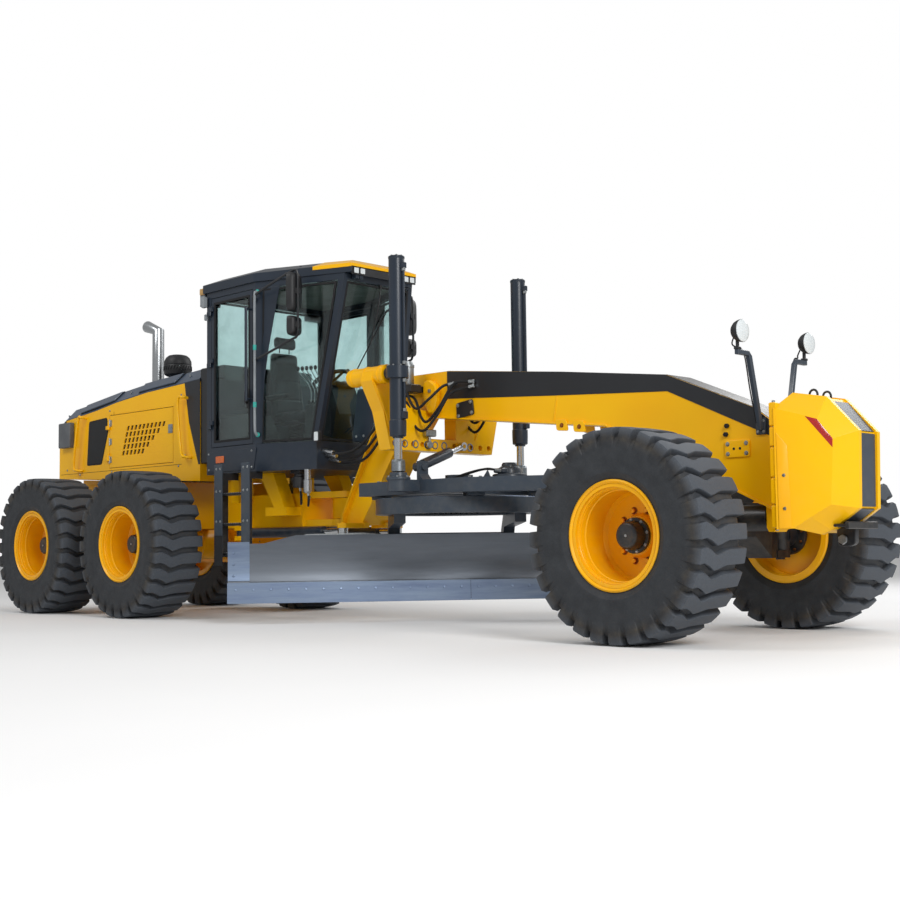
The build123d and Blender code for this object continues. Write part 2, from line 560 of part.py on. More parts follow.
# Hood: hollow cowl with a side opening under each door, open below
hood_side = [(HOOD_REAR_X, HOOD_BOTTOM_REAR), (HOOD_REAR_X, HOOD_TOP_REAR),
             (HOOD_REAR_X + 150, HOOD_TOP_REAR + 80), (-6070, HOOD_TOP_FRONT - 60),
             (HOOD_FRONT_X, HOOD_TOP_FRONT), (HOOD_FRONT_X, HOOD_BOTTOM_FRONT)]
w = HOOD_WALL
hood_in = [(HOOD_REAR_X + w, HOOD_BOTTOM_FRONT - 200), (HOOD_REAR_X + w, HOOD_TOP_REAR - 5),
           (HOOD_REAR_X + 150 + w, HOOD_TOP_REAR + 80 - w), (-6070, HOOD_TOP_FRONT - 60 - w),
           (HOOD_FRONT_X - w, HOOD_TOP_FRONT - w), (HOOD_FRONT_X - w, HOOD_BOTTOM_FRONT - 200)]


def cowl(profile, y, chamfer_size):
    solid = slab_y(profile, -y, y)
    long_edges = [e for e in solid.edges()
                  if e.bounding_box().size.X > 100 and abs(e.center().Y) > y - 1
                  and e.center().Z > HOOD_TOP_REAR]
    return chamfer(long_edges, chamfer_size)


hood = cowl(hood_side, HOOD_Y, HOOD_CHAMFER) - cowl(hood_in, HOOD_Y - w, HOOD_CHAMFER - 5)
for side in (-1, 1):
    hood = hood - block(HOOD_DOOR_REAR_X - PANEL_GAP, HOOD_DOOR_FRONT_X + PANEL_GAP,
                        side * (HOOD_Y - 40), side * (HOOD_Y + 10),
                        HOOD_DOOR_BOTTOM - PANEL_GAP, HOOD_DOOR_TOP + PANEL_GAP)
for side in (-1, 1):
    for z in HOOD_HINGES:
        hood = hood + hinge_pair(HOOD_HINGE_X, side * (HOOD_Y + 17), z, side)[0]
for x, r in ((EXHAUST_X, 55), (CLEANER_X, 60)):
    hood = hood - bar((x, 0, HOOD_TOP_REAR - 100), (x, 0, HOOD_TOP_FRONT + 100), r + 8)
piece("hood", hood)

door = block(HOOD_DOOR_REAR_X, HOOD_DOOR_FRONT_X, -HOOD_Y, -HOOD_Y + w, HOOD_DOOR_BOTTOM, HOOD_DOOR_TOP)
for z in HOOD_HINGES:
    door = door + hinge_pair(HOOD_HINGE_X, -HOOD_Y - 17, z, -1)[1]
piece("hood_door_right", door)
piece("hood_door_left", mirrored(door))

# Engine, one closed block on the frame
engine = block(HOOD_REAR_X + 580, HOOD_FRONT_X - 600, -RAIL_Y + RAIL_WALL + FIT, RAIL_Y - RAIL_WALL - FIT, 1180, ENGINE_TOP)
piece("engine_block", engine)

# Exhaust with a rearward elbow, and the intake pre-cleaner
stack = bar((EXHAUST_X, 0, ENGINE_TOP), (EXHAUST_X, 0, 2960), 55)
stack = stack + bar((EXHAUST_X, 0, 2960), (EXHAUST_X - 230, 0, 3080), 55) + Pos(EXHAUST_X, 0, 2960) * Sphere(55)
piece("exhaust_stack", stack)
cleaner = turned([(ENGINE_TOP, 0), (ENGINE_TOP, 60), (2530, 60), (2540, 170), (2660, 190),
                  (2720, 150), (2750, 0)], (CLEANER_X, 0, 0), (0, 0, 1))
piece("air_precleaner", cleaner)

# Cab plan, right side from the rear: C pillar, B pillar, windscreen corner
CAB_PLAN = [(CAB_REAR_X, -CAB_Y), (CAB_B_X, -CAB_Y), (CAB_A_X, -CAB_A_Y),
            (CAB_A_X, CAB_A_Y), (CAB_B_X, CAB_Y), (CAB_REAR_X, CAB_Y)]
TOP_PLAN = [(CAB_REAR_X, -CAB_Y), (CAB_B_X, -CAB_Y), (CAB_A_TOP_X, -CAB_A_TOP_Y),
            (CAB_A_TOP_X, CAB_A_TOP_Y), (CAB_B_X, CAB_Y), (CAB_REAR_X, CAB_Y)]


def hexagon(plan, z, inset=0):
    out = []
    for x, y in plan:
        sx = inset if x == CAB_REAR_X else (-inset if x in (CAB_A_X, CAB_A_TOP_X) else 0)
        out.append((x + sx, y - inset * (1 if y > 0 else -1), z))
    return outline(out)


base = loft([hexagon(CAB_PLAN, CAB_BOTTOM), hexagon(CAB_PLAN, SILL_TOP)], ruled=True)
base = base - loft([hexagon(CAB_PLAN, CAB_BOTTOM + 40, 30), hexagon(CAB_PLAN, SILL_TOP + 1, 30)], ruled=True)
upper = loft([hexagon(CAB_PLAN, SILL_TOP), hexagon(TOP_PLAN, GLASS_TOP)], ruled=True)
upper = upper - loft([hexagon(CAB_PLAN, SILL_TOP - 1, PILLAR - 20), hexagon(TOP_PLAN, GLASS_TOP + 1, PILLAR - 20)], ruled=True)
openings = [block(CAB_REAR_X + PILLAR, CAB_B_X - PILLAR / 2, s * 600, s * 800, SILL_TOP + 20, GLASS_TOP - 60)
            for s in (-1, 1)]
openings.append(block(CAB_REAR_X - 50, CAB_REAR_X + 100, -CAB_Y + 90, CAB_Y - 90, REAR_PANE_BOTTOM, GLASS_TOP - 60))
lean = (CAB_A_TOP_X - CAB_A_X) / (GLASS_TOP - SILL_TOP)
for side in (-1, 1):
    t = 0.93
    bottom_x = CAB_B_X + (CAB_A_X - CAB_B_X) * t
    top_x = CAB_B_X + (CAB_A_TOP_X - CAB_B_X) * t
    window = slab_y([(CAB_B_X + 50, SILL_TOP + 20), (bottom_x, SILL_TOP + 20),
                     (top_x, GLASS_TOP - 60), (CAB_B_X + 70, GLASS_TOP - 60)], side * 200, side * 900)
    openings.append(window)
front_cut = loft([
    outline([(CAB_A_X - 150, -CAB_A_Y + 45, SILL_TOP + 20), (CAB_A_X + 100, -CAB_A_Y + 45, SILL_TOP + 20),
             (CAB_A_X + 100, CAB_A_Y - 45, SILL_TOP + 20), (CAB_A_X - 150, CAB_A_Y - 45, SILL_TOP + 20)]),
    outline([(CAB_A_TOP_X - 150, -CAB_A_TOP_Y + 45, GLASS_TOP - 60), (CAB_A_TOP_X + 100, -CAB_A_TOP_Y + 45, GLASS_TOP - 60),
             (CAB_A_TOP_X + 100, CAB_A_TOP_Y - 45, GLASS_TOP - 60), (CAB_A_TOP_X - 150, CAB_A_TOP_Y - 45, GLASS_TOP - 60)]),
], ruled=True)
openings.append(front_cut)
cab = base + cut(upper, openings)
for side in (-1, 1):
    for z in CAB_HINGES:
        cab = cab + hinge_pair(CAB_HINGE_X, side * (CAB_Y + 17), z, side)[0]
piece("cab_frame", cab)


# Fixed glass: rear pane, windscreen and the two tapering side panes
def pane(corners, thickness):
    face = outline(corners)
    return extrude(face, amount=thickness)


gz0, gz1 = SILL_TOP + 20.4, GLASS_TOP - 60.4
glass = block(CAB_REAR_X + 20, CAB_REAR_X + 20 + GLASS, -CAB_Y + 90.4, CAB_Y - 90.4, REAR_PANE_BOTTOM + 0.4, gz1)
for side in (-1, 1):
    ax, ay = CAB_A_X - CAB_B_X, CAB_Y - CAB_A_Y
    run = hypot(ax, ay)
    nx, ny = ay / run, ax / run
    t0, t1 = 66, run * 0.925
    top_run = hypot(CAB_A_TOP_X - CAB_B_X, CAB_Y - CAB_A_TOP_Y) * 0.925
    quad = [(88, gz1), (t0, gz0), (t1, gz0), (top_run, gz1)]
    corners = []
    for t, z in quad:
        x = CAB_B_X + ax / run * t - nx * 22
        y = CAB_Y - ay / run * t - ny * 22
        corners.append((x, side * y, z))
    glass = glass + pane(corners, GLASS)
gz0, gz1 = SILL_TOP + 22, GLASS_TOP - 62
k0, k1 = (gz0 - SILL_TOP) / (GLASS_TOP - SILL_TOP), (gz1 - SILL_TOP) / (GLASS_TOP - SILL_TOP)
wx0 = CAB_A_X + (CAB_A_TOP_X - CAB_A_X) * k0 - 24
wx1 = CAB_A_X + (CAB_A_TOP_X - CAB_A_X) * k1 - 24
wy0 = CAB_A_Y - 47
wy1 = CAB_A_TOP_Y - 47
glass = glass + pane([(wx0, -wy0, gz0), (wx0, wy0, gz0), (wx1, wy1, gz1), (wx1, -wy1, gz1)], GLASS)
piece("cab_glass", glass)

# Cab roof, a shallow tapered slab reaching forward as a visor
roof_low = outline([(CAB_REAR_X - 40, -CAB_Y - 20, GLASS_TOP + FIT), (CAB_B_X, -CAB_Y - 20, GLASS_TOP + FIT),
                    (VISOR_X, -VISOR_Y - 30, GLASS_TOP + FIT), (VISOR_X, VISOR_Y + 30, GLASS_TOP + FIT),
                    (CAB_B_X, CAB_Y + 20, GLASS_TOP + FIT), (CAB_REAR_X - 40, CAB_Y + 20, GLASS_TOP + FIT)])
roof_mid = outline([(CAB_REAR_X - 40, -CAB_Y - 20, ROOF_TOP - 60), (CAB_B_X, -CAB_Y - 20, ROOF_TOP - 60),
                    (VISOR_X, -VISOR_Y - 30, ROOF_TOP - 60), (VISOR_X, VISOR_Y + 30, ROOF_TOP - 60),
                    (CAB_B_X, CAB_Y + 20, ROOF_TOP - 60), (CAB_REAR_X - 40, CAB_Y + 20, ROOF_TOP - 60)])
roof_top = outline([(CAB_REAR_X + 100, -CAB_Y + 120, ROOF_TOP), (CAB_B_X, -CAB_Y + 120, ROOF_TOP),
                    (VISOR_X - 120, -VISOR_Y + 90, ROOF_TOP), (VISOR_X - 120, VISOR_Y - 90, ROOF_TOP),
                    (CAB_B_X, CAB_Y - 120, ROOF_TOP), (CAB_REAR_X + 100, CAB_Y - 120, ROOF_TOP)])
roof = loft([roof_low, roof_mid], ruled=True) + loft([roof_mid, roof_top], ruled=True)
for side in (-1, 1):
    for y in (270, 320):
        lamp = block(VISOR_X - 58, VISOR_X - 8, side * (y - 20), side * (y + 20), GLASS_TOP - 50, GLASS_TOP + 1)
        roof = roof + lamp
    roof = roof + block(CAB_REAR_X - 130, CAB_REAR_X - 40, side * 560, side * 740, GLASS_TOP - 110, GLASS_TOP + 60)
piece("cab_roof", roof)

# Cab doors, hinged on the rear post: frame and glass
dx0, dx1 = CAB_REAR_X + PILLAR + PANEL_GAP, CAB_B_X - PILLAR / 2 - PANEL_GAP
dz0, dz1 = SILL_TOP + 20 + PANEL_GAP, GLASS_TOP - 60 - PANEL_GAP
m = 45
cab_door = block(dx0, dx1, -CAB_Y, -CAB_Y + CAB_DOOR_DEPTH, dz0, dz1)
cab_door = cab_door - block(dx0 + m, dx1 - m, -CAB_Y - 1, -CAB_Y + CAB_DOOR_DEPTH + 1, dz0 + m, dz1 - m)
hz0, hz1 = SILL_TOP + 420, GLASS_TOP - 230
handle = bar((dx1 - 20, -CAB_Y - 60, hz0), (dx1 - 20, -CAB_Y - 60, hz1), 14)
for z in (hz0 + 20, hz1 - 20):
    handle = handle + bar((dx1 - 20, -CAB_Y + 1, z), (dx1 - 20, -CAB_Y - 60, z), 12)
cab_door = cab_door + handle
for z in CAB_HINGES:
    cab_door = cab_door + hinge_pair(CAB_HINGE_X, -CAB_Y - 17, z, -1)[1]
door_glass = block(dx0 + m + FIT, dx1 - m - FIT, -CAB_Y + 18, -CAB_Y + 18 + GLASS, dz0 + m + FIT, dz1 - m - FIT)
piece("cab_door_right", cab_door)
piece("cab_door_left", mirrored(cab_door))
piece("cab_door_glass_right", door_glass)
piece("cab_door_glass_left", mirrored(door_glass))

# Seat and steering console inside
floor = CAB_BOTTOM + 40 + FIT
seat = block(-4980, -4560, -240, 240, 1850, 1980) + slab_y([
    (-5080, 1900), (-4960, 1900), (-5020, 2600), (-5110, 2600)], -240, 240)
seat = seat + block(-4860, -4660, -110, 110, floor, 1850) + block(-5090, -5010, -140, 140, 2600, 2760)
for side in (-1, 1):
    seat = seat + block(-5000, -4640, side * 240, side * 310, 2080, 2140)
    seat = seat + block(-4980, -4900, side * 240, side * 290, 1900, 2080)
piece("operator_seat", seat)
console = slab_y([(-4300, floor), (-4120, floor), (-4060, 1900), (-4180, 2180), (-4300, 2140)], -150, 150)
wheel = turned([(-14, 176), (-14, 204), (14, 204), (14, 176)], (0, 0, 0), (0, 0, 1))
wheel = wheel + block(-190, 190, -14, 14, -6, 6) + Cylinder(26, 90)
console = console + Pos(-4330, 0, 2230) * Rot(0, -28, 0) * wheel
console = console + bar((-4240, 0, 2120), (-4320, 0, 2215), 30)
piece("steering_console", console)

# Mirrors on their tubes from the B posts
mirrors = None
for side in (-1, 1):
    py = side * (CAB_Y + 42)
    path = [(CAB_B_X, side * (CAB_Y + 22), GLASS_TOP - 180), (CAB_B_X + 60, py, GLASS_TOP - 130),
            (-3985, side * 735, GLASS_TOP - 10), (-3985, side * 735, GLASS_TOP - 650),
            (CAB_B_X + 60, py, GLASS_TOP - 750), (CAB_B_X, side * (CAB_Y + 22), GLASS_TOP - 750)]
    group = None
    for a, b in zip(path, path[1:]):
        leg = bar(a, b, 13) + Pos(*b) * Sphere(13)
        group = leg if group is None else group + leg
    for drop in (180, 750):
        group = group + block(CAB_B_X - 20, CAB_B_X + 20, side * (CAB_Y + FIT), side * (CAB_Y + 24),
                              GLASS_TOP - drop - 20, GLASS_TOP - drop + 20)
    for z0, z1, half_w in ((GLASS_TOP - 410, GLASS_TOP - 50, 95), (GLASS_TOP - 630, GLASS_TOP - 450, 88)):
        shell = Pos(-3985, side * 735, (z0 + z1) / 2) * Rot(0, 0, side * 20) * Box(80, 2 * half_w, z1 - z0)
        group = group + shell
    mirrors = group if mirrors is None else mirrors + group
piece("mirrors", mirrors)

# Access ladders below the doors
LADDER_Y0, LADDER_Y1 = 790, 890
LADDER_X = [-4930, -4560]
LADDER_TOP = CAB_BOTTOM - FIT
LADDER_BOTTOM = 580
ladders = None
for side in (-1, 1):
    rails = None
    for x in LADDER_X:
        rail = block(x, x + 22, side * LADDER_Y0, side * LADDER_Y1, LADDER_BOTTOM, LADDER_TOP)
        rail = rail + block(x, x + 22, side * (LADDER_Y0 - 120), side * LADDER_Y1, 1300, LADDER_TOP)
        rails = rail if rails is None else rails + rail
    for z in (LADDER_BOTTOM + 20, 870, 1150):
        rails = rails + block(LADDER_X[0], LADDER_X[1] + 22, side * LADDER_Y0, side * (LADDER_Y1 - 10), z, z + 24)
    ladders = rails if ladders is None else ladders + rails
piece("ladders", ladders)

# Handrails on the hood and the two tail lamp boxes
rails = None
for side in (-1, 1):
    for x, z0, z1 in ((HOOD_REAR_X + 120, 1600, 2080), (HOOD_FRONT_X - 390, 1560, 2200)):
        y = side * (HOOD_Y + 60)
        rail = bar((x, y, z0), (x, y, z1), 14)
        for z in (z0, z1):
            rail = rail + bar((x, side * (HOOD_Y + FIT), z), (x, y, z), 14) + Pos(x, y, z) * Sphere(14)
        rails = rail if rails is None else rails + rail
piece("handrails", rails)
tail = None
for side in (-1, 1):
    box = block(HOOD_REAR_X - 110, HOOD_REAR_X - FIT, side * 400, side * 620, 1800, 2060)
    tail = box if tail is None else tail + box
piece("tail_lamps", tail)

# Drawbar: ball, neck, side beams and lift ears
ball = Pos(BALL_X, 0, BALL_Z) * Sphere(BALL_RADIUS)
pin_half = COUPLING_Y + 34
ball = ball + bar((BALL_X, -pin_half, BALL_Z), (BALL_X, pin_half, BALL_Z), COUPLING_PIN)
ball = ball - bar((BALL_X, 0, BALL_Z - 200), (BALL_X, 0, BALL_Z + 200), COUPLING_PIN + FIT)
piece("drawbar_ball", ball)
beam_out = [(-720, -80), (-1250, -150), (-2020, -600), (-3270, -600), (-3270, 600), (-2020, 600),
            (-1250, 150), (-720, 80)]
drawbar = slab_z(beam_out, DRAWBAR_BOTTOM, DRAWBAR_TOP)
drawbar = drawbar - slab_z([(-1500, -100), (-2080, -430), (-2250, -430), (-2250, 430), (-2080, 430),
                            (-1500, 100)], DRAWBAR_BOTTOM - 1, DRAWBAR_TOP + 1)
drawbar = drawbar - block(-3130, -2440, -430, 430, DRAWBAR_BOTTOM - 1, DRAWBAR_TOP + 1)
neck = block(-740, BALL_X - BALL_RADIUS - 25, -60, 60, BALL_Z - 34, BALL_Z + 34)
for z0, z1 in ((BALL_Z - 118, BALL_Z - BALL_RADIUS - 2), (BALL_Z + BALL_RADIUS + 2, BALL_Z + 118)):
    jaw = block(-720, BALL_X, -55, 55, z0, z1) + bar((BALL_X, 0, z0), (BALL_X, 0, z1), 55)
    neck = neck + jaw
neck = neck + block(-740, -690, -60, 60, BALL_Z - 118, BALL_Z + 118)
neck = neck + bar((BALL_X, 0, BALL_Z - 110), (BALL_X, 0, BALL_Z + 110), COUPLING_PIN)
drawbar = drawbar + neck
for side in (-1, 1):
    y = side * LIFT_Y
    ear = block(LIFT_X - 90, LIFT_X + 90, side * 590, y, DRAWBAR_BOTTOM + 20, DRAWBAR_TOP)
    ear = ear + bar((LIFT_X, y, DRAWBAR_BOTTOM + 20), (LIFT_X, y, DRAWBAR_TOP), 90)
    stud = bar((LIFT_X, y, DRAWBAR_TOP - 5), (LIFT_X, y, LIFT_BALL_Z), 26)
    stud = stud + bar((LIFT_X, y, DRAWBAR_TOP - 5), (LIFT_X, y, DRAWBAR_TOP + 8), 58)
    drawbar = drawbar + ear + stud + Pos(LIFT_X, y, LIFT_BALL_Z) * Sphere(LIFT_BALL_RADIUS)
ex, ey, ez = SHIFT_EYE
face_x = ex + SHIFT_EYE_SIZE * 0.55 + SHIFT_EAR_GAP
ear = slab_y([(face_x, DRAWBAR_TOP - 10), (face_x, ez + 45), (face_x + 24, ez + 45), (face_x + 24, ez - 60),
              (face_x + 80, DRAWBAR_TOP - 10)], ey - 55, ey + 55)
drawbar = drawbar + ear + bar((face_x + 20, ey, ez), (face_x + 42, ey, ez), 30)
hub = bar((CIRCLE_X, 0, DRAWBAR_BOTTOM), (CIRCLE_X, 0, DRAWBAR_TOP + 60), 120)
cross = block(CIRCLE_X - 90, CIRCLE_X + 90, -440, 440, DRAWBAR_BOTTOM, DRAWBAR_TOP)
drawbar = drawbar + cross + hub
for a in (35, 145, 215, 325):
    x, y = CIRCLE_X + 655 * cos(radians(a)), 655 * sin(radians(a))
    drawbar = drawbar + bar((x, y, CIRCLE_TOP + FIT), (x, y, DRAWBAR_BOTTOM + 10), 60)
piece("drawbar", drawbar)

# Circle drive on top of the drawbar
drive = bar((CIRCLE_X + 480, 120, DRAWBAR_TOP + FIT), (CIRCLE_X + 480, 120, DRAWBAR_TOP + 90), 150)
drive = drive + bar((CIRCLE_X + 480, 120, DRAWBAR_TOP + 90), (CIRCLE_X + 480, 120, DRAWBAR_TOP + 230), 70)
piece("circle_drive", drive)


# Blade group, drawn square across the machine about the circle's middle
def swung(shape):
    return Pos(CIRCLE_X, 0, 0) * Rot(0, 0, CIRCLE_ANGLE) * shape


ring = Cylinder(CIRCLE_RADIUS, CIRCLE_TOP - CIRCLE_BOTTOM, align=(Align.CENTER, Align.CENTER, Align.MIN))
ring = ring - Cylinder(CIRCLE_INNER, 400)
ring = Pos(0, 0, CIRCLE_BOTTOM) * ring
for side in (-1, 1):
    y0, y1 = side * (ARM_Y - ARM_WIDTH / 2), side * (ARM_Y + ARM_WIDTH / 2)
    arm = slab_y([(60, CIRCLE_BOTTOM + 20), (60, CIRCLE_BOTTOM - 70), (-530, 825), (-650, 620),
                  (-TILT_X + 42, 420), (-TILT_X + 42, 275), (-TILT_X - 60, 275), (-TILT_X - 70, 420),
                  (-740, 640), (-700, 800), (-560, CIRCLE_BOTTOM + 20)], min(y0, y1), max(y0, y1))
    arm = arm - bar((-TILT_X, y0 - side, TILT_Z), (-TILT_X, y1 + side, TILT_Z), TILT_PIN_RADIUS + FIT)
    ring = ring + arm
ring = ring + block(-700, -620, -ARM_Y, ARM_Y, 700, 780)
piece("circle", swung(ring))

# Blade carrier on the tilt pins: slide guides and cross tube
carrier = bar((-TILT_X, -ARM_Y - 90, TILT_Z), (-TILT_X, ARM_Y + 90, TILT_Z), TILT_PIN_RADIUS)
x_back = -(BLADE_SET_BACK + BLADE_DEPTH + BLADE_THICKNESS)
rail_back = x_back - 40 - FIT
for side in (-1, 1):
    y = side * 330
    guide = slab_y([(-TILT_X - 50, TILT_Z - 50), (x_back - 7, TILT_Z - 50), (x_back - 7, RAIL_Z[0] - FIT),
                    (rail_back, RAIL_Z[0] - FIT), (rail_back, RAIL_Z[1] + RAIL_DEPTH + FIT),
                    (x_back - 7, RAIL_Z[1] + RAIL_DEPTH + FIT), (x_back - 7, RAIL_Z[1] + RAIL_DEPTH + 28),
                    (-TILT_X - 10, RAIL_Z[1] + RAIL_DEPTH + 28), (-TILT_X - 50, 520)], y - 70, y + 70)
    carrier = carrier + guide
piece("blade_carrier", swung(carrier))

# Moldboard, concave forward, with the slide rails on its back
bx, bz0, bz1 = -BLADE_SET_BACK, BLADE_BOTTOM, BLADE_TOP
by0, by1 = BLADE_SHIFT - BLADE_LENGTH / 2, BLADE_SHIFT + BLADE_LENGTH / 2
mid = (bz0 + bz1) / 2 - 20


def blade_profile(x_front, z0, z1, thickness):
    with BuildSketch(Plane.XZ) as sketch:
        with BuildLine():
            ThreePointArc((x_front, z0), (x_front - BLADE_DEPTH, mid), (x_front - 20, z1))
            Line((x_front - 20, z1), (x_front - 20 - thickness, z1))
            ThreePointArc((x_front - 20 - thickness, z1), (x_front - BLADE_DEPTH - thickness, mid),
                          (x_front - thickness, z0))
            Line((x_front - thickness, z0), (x_front, z0))
        make_face()
    return sketch.sketch


blade = extrude(blade_profile(bx, bz0 + 20, bz1, BLADE_THICKNESS).faces()[0], amount=by1 - by0, dir=(0, 1, 0))
blade = Pos(0, by0, 0) * blade
for y_end, s in ((by0, 1), (by1, -1)):
    notch = slab_x([(y_end - s, bz1 + 1), (y_end - s, bz1 - 70), (y_end + s * 310, bz1 - 70),
                    (y_end + s * 600, bz1 + 1)], bx - 300, bx + 100)
    blade = blade - notch
for z in RAIL_Z:
    rail = block(x_back - 40, x_back + 30, -RAIL_LENGTH / 2 + BLADE_SHIFT, RAIL_LENGTH / 2 + BLADE_SHIFT, z, z + RAIL_DEPTH)
    blade = blade + rail
piece("moldboard", swung(blade))
edge = None
for y0, y1 in ((by0, BLADE_SHIFT - 1), (BLADE_SHIFT + 1, by1)):
    part = slab_y([(bx + FIT, bz0 + 20), (bx + EDGE_THICKNESS, bz0), (bx - 10 + EDGE_THICKNESS, bz0 + EDGE_HEIGHT),
                   (bx - 10, bz0 + EDGE_HEIGHT)], y0, y1)
    edge = part if edge is None else edge + part
piece("cutting_edge", swung(edge))

# Lift cylinders: barrel in its yoke, rod down to the drawbar's ear
for name, side in (("right", -1), ("left", 1)):
    y = side * LIFT_Y
    barrel = bar((LIFT_X, y, LIFT_FOOT_Z), (LIFT_X, y, LIFT_TOP_Z), LIFT_BARREL_RADIUS)
    barrel = barrel - bar((LIFT_X, y, LIFT_FOOT_Z - 1), (LIFT_X, y, LIFT_TOP_Z - 40), LIFT_ROD_RADIUS + 6)
    barrel = barrel + bar((LIFT_X, y, LIFT_YOKE_Z - 50), (LIFT_X, y, LIFT_YOKE_Z + 50), LIFT_BARREL_RADIUS + 26) \
        - bar((LIFT_X, y, LIFT_FOOT_Z - 1), (LIFT_X, y, LIFT_TOP_Z - 40), LIFT_ROD_RADIUS + 6)
    gland = bar((LIFT_X, y, LIFT_FOOT_Z), (LIFT_X, y, LIFT_FOOT_Z + 60), LIFT_BARREL_RADIUS) \
        - bar((LIFT_X, y, LIFT_FOOT_Z - 1), (LIFT_X, y, LIFT_FOOT_Z + 61), LIFT_ROD_RADIUS + FIT)
    barrel = barrel + gland
    barrel = barrel + bar((LIFT_X - LIFT_BARREL_RADIUS - 46 + FIT, y, LIFT_YOKE_Z), (LIFT_X - LIFT_BARREL_RADIUS - 10, y, LIFT_YOKE_Z), 52)
    piece(f"lift_cylinder_{name}", barrel)
    rod = bar((LIFT_X, y, LIFT_EYE_Z - 20), (LIFT_X, y, LIFT_TOP_Z - 420), LIFT_ROD_RADIUS)
    rod = rod + turned([(LIFT_EYE_Z - 40, 0), (LIFT_EYE_Z - 40, 46), (LIFT_EYE_Z - 30, 52), (LIFT_EYE_Z + 14, 52),
                        (LIFT_EYE_Z + 40, 38), (LIFT_EYE_Z + 40, 0)], (LIFT_X, y, 0), (0, 0, 1))
    piece(f"lift_rod_{name}", rod)


def cylinder_pair(start, end, barrel_r, rod_r, closed, inner, eye, half, pin_dir):
    # barrel from its eye at start, rod to its eye at end; both eyes plain
    a, b = Vector(*start), Vector(*end)
    u = (b - a).normalized()
    n = Vector(*pin_dir)
    barrel = bar(a + u * (eye * 1.6), a + u * closed, barrel_r) + bar(a, a + u * (eye * 1.7), half * 0.9)
    bore = bar(a + u * (eye * 1.6 + 20), a + u * (closed + 1), rod_r + 4)
    gland = bar(a + u * (closed - 40), a + u * closed, barrel_r) \
        - bar(a + u * (closed - 41), a + u * (closed + 1), rod_r + FIT)
    barrel = (barrel - bore) + gland
    barrel = barrel + bar(a - n * half, a + n * half, eye * 0.8)
    rod = bar(a + u * inner, b - u * (eye * 0.4), rod_r)
    rod = rod + bar(b - n * half, b + n * half, eye * 0.8)
    return barrel, rod


barrel, rod = cylinder_pair(SHIFT_EYE, SHIFT_TOP, SHIFT_BARREL_RADIUS, SHIFT_ROD_RADIUS,
                            SHIFT_CLOSED, SHIFT_INNER, SHIFT_EYE_SIZE, SHIFT_EYE_SIZE * 0.55, (1, 0, 0))
rod = rod - bar((SHIFT_TOP[0] - 80, SHIFT_TOP[1], SHIFT_TOP[2]), (SHIFT_TOP[0] + 80, SHIFT_TOP[1], SHIFT_TOP[2]),
                SHIFT_PIN + FIT)
barrel = barrel - bar((ex - 80, ey, ez), (ex + 80, ey, ez), SHIFT_PIN + FIT)
piece("shift_cylinder", barrel)
piece("shift_rod", rod)
for name, side in (("right", -1), ("left", 1)):
    a = (ARTIC_CYL_REAR[0], side * ARTIC_CYL_REAR[1], ARTIC_CYL_REAR[2])
    b = (ARTIC_CYL_EYE[0], side * ARTIC_CYL_EYE[1], ARTIC_CYL_EYE[2])
    barrel, rod = cylinder_pair(a, b, ARTIC_BARREL_RADIUS, ARTIC_ROD_RADIUS, 1200, 540, 60, ARTIC_EYE_HALF, (0, 0, 1))
    barrel = barrel + bar((a[0], a[1], a[2] - 78), (a[0], a[1], a[2] + 78), ARTIC_PIN)
    piece(f"articulation_cylinder_{name}", barrel)
    piece(f"articulation_rod_{name}", rod)

# Write every piece in the machine's own frame
os.makedirs("parts", exist_ok=True)
for name, shape in PIECES.items():
    export_step(Pos(SHIFT_X, SHIFT_Y, 0) * shape, f"parts/{name}.step")
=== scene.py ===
# %% [markdown]
# # A motor grader, dressed in Blender
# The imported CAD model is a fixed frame: plain solids at their real size, in metres.
# This lesson gives each solid its finish and adds the small pieces that the CAD leaves out:
# tread, bolts, hoses, seals, lamps and grilles. Each new shape is a surface worked out with numpy.

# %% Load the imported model
import json

import bmesh
import bpy
import numpy as np
from math import cos, pi, radians, sin
from mathutils import Matrix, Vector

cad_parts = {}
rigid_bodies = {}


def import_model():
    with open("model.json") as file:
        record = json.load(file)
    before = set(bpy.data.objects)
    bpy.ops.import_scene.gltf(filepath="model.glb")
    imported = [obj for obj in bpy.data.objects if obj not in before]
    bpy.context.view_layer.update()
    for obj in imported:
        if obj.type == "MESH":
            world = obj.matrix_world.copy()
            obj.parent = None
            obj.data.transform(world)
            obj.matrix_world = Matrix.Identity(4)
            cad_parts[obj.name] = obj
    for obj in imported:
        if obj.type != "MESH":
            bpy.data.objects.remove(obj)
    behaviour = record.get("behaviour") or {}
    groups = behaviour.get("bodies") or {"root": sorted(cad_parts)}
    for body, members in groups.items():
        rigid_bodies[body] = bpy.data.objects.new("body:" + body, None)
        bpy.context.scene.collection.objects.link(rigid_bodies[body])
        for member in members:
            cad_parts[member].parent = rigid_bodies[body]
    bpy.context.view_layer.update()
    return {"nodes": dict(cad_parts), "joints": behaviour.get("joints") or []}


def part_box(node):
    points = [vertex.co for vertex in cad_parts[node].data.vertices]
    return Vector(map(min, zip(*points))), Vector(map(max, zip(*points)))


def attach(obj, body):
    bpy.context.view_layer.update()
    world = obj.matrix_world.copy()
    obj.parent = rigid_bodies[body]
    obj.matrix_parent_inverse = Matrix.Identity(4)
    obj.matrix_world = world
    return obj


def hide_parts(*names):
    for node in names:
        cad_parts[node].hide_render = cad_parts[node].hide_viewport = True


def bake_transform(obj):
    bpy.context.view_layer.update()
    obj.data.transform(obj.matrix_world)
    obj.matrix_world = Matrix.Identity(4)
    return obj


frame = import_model()
joints = {j["name"]: j for j in frame["joints"]}

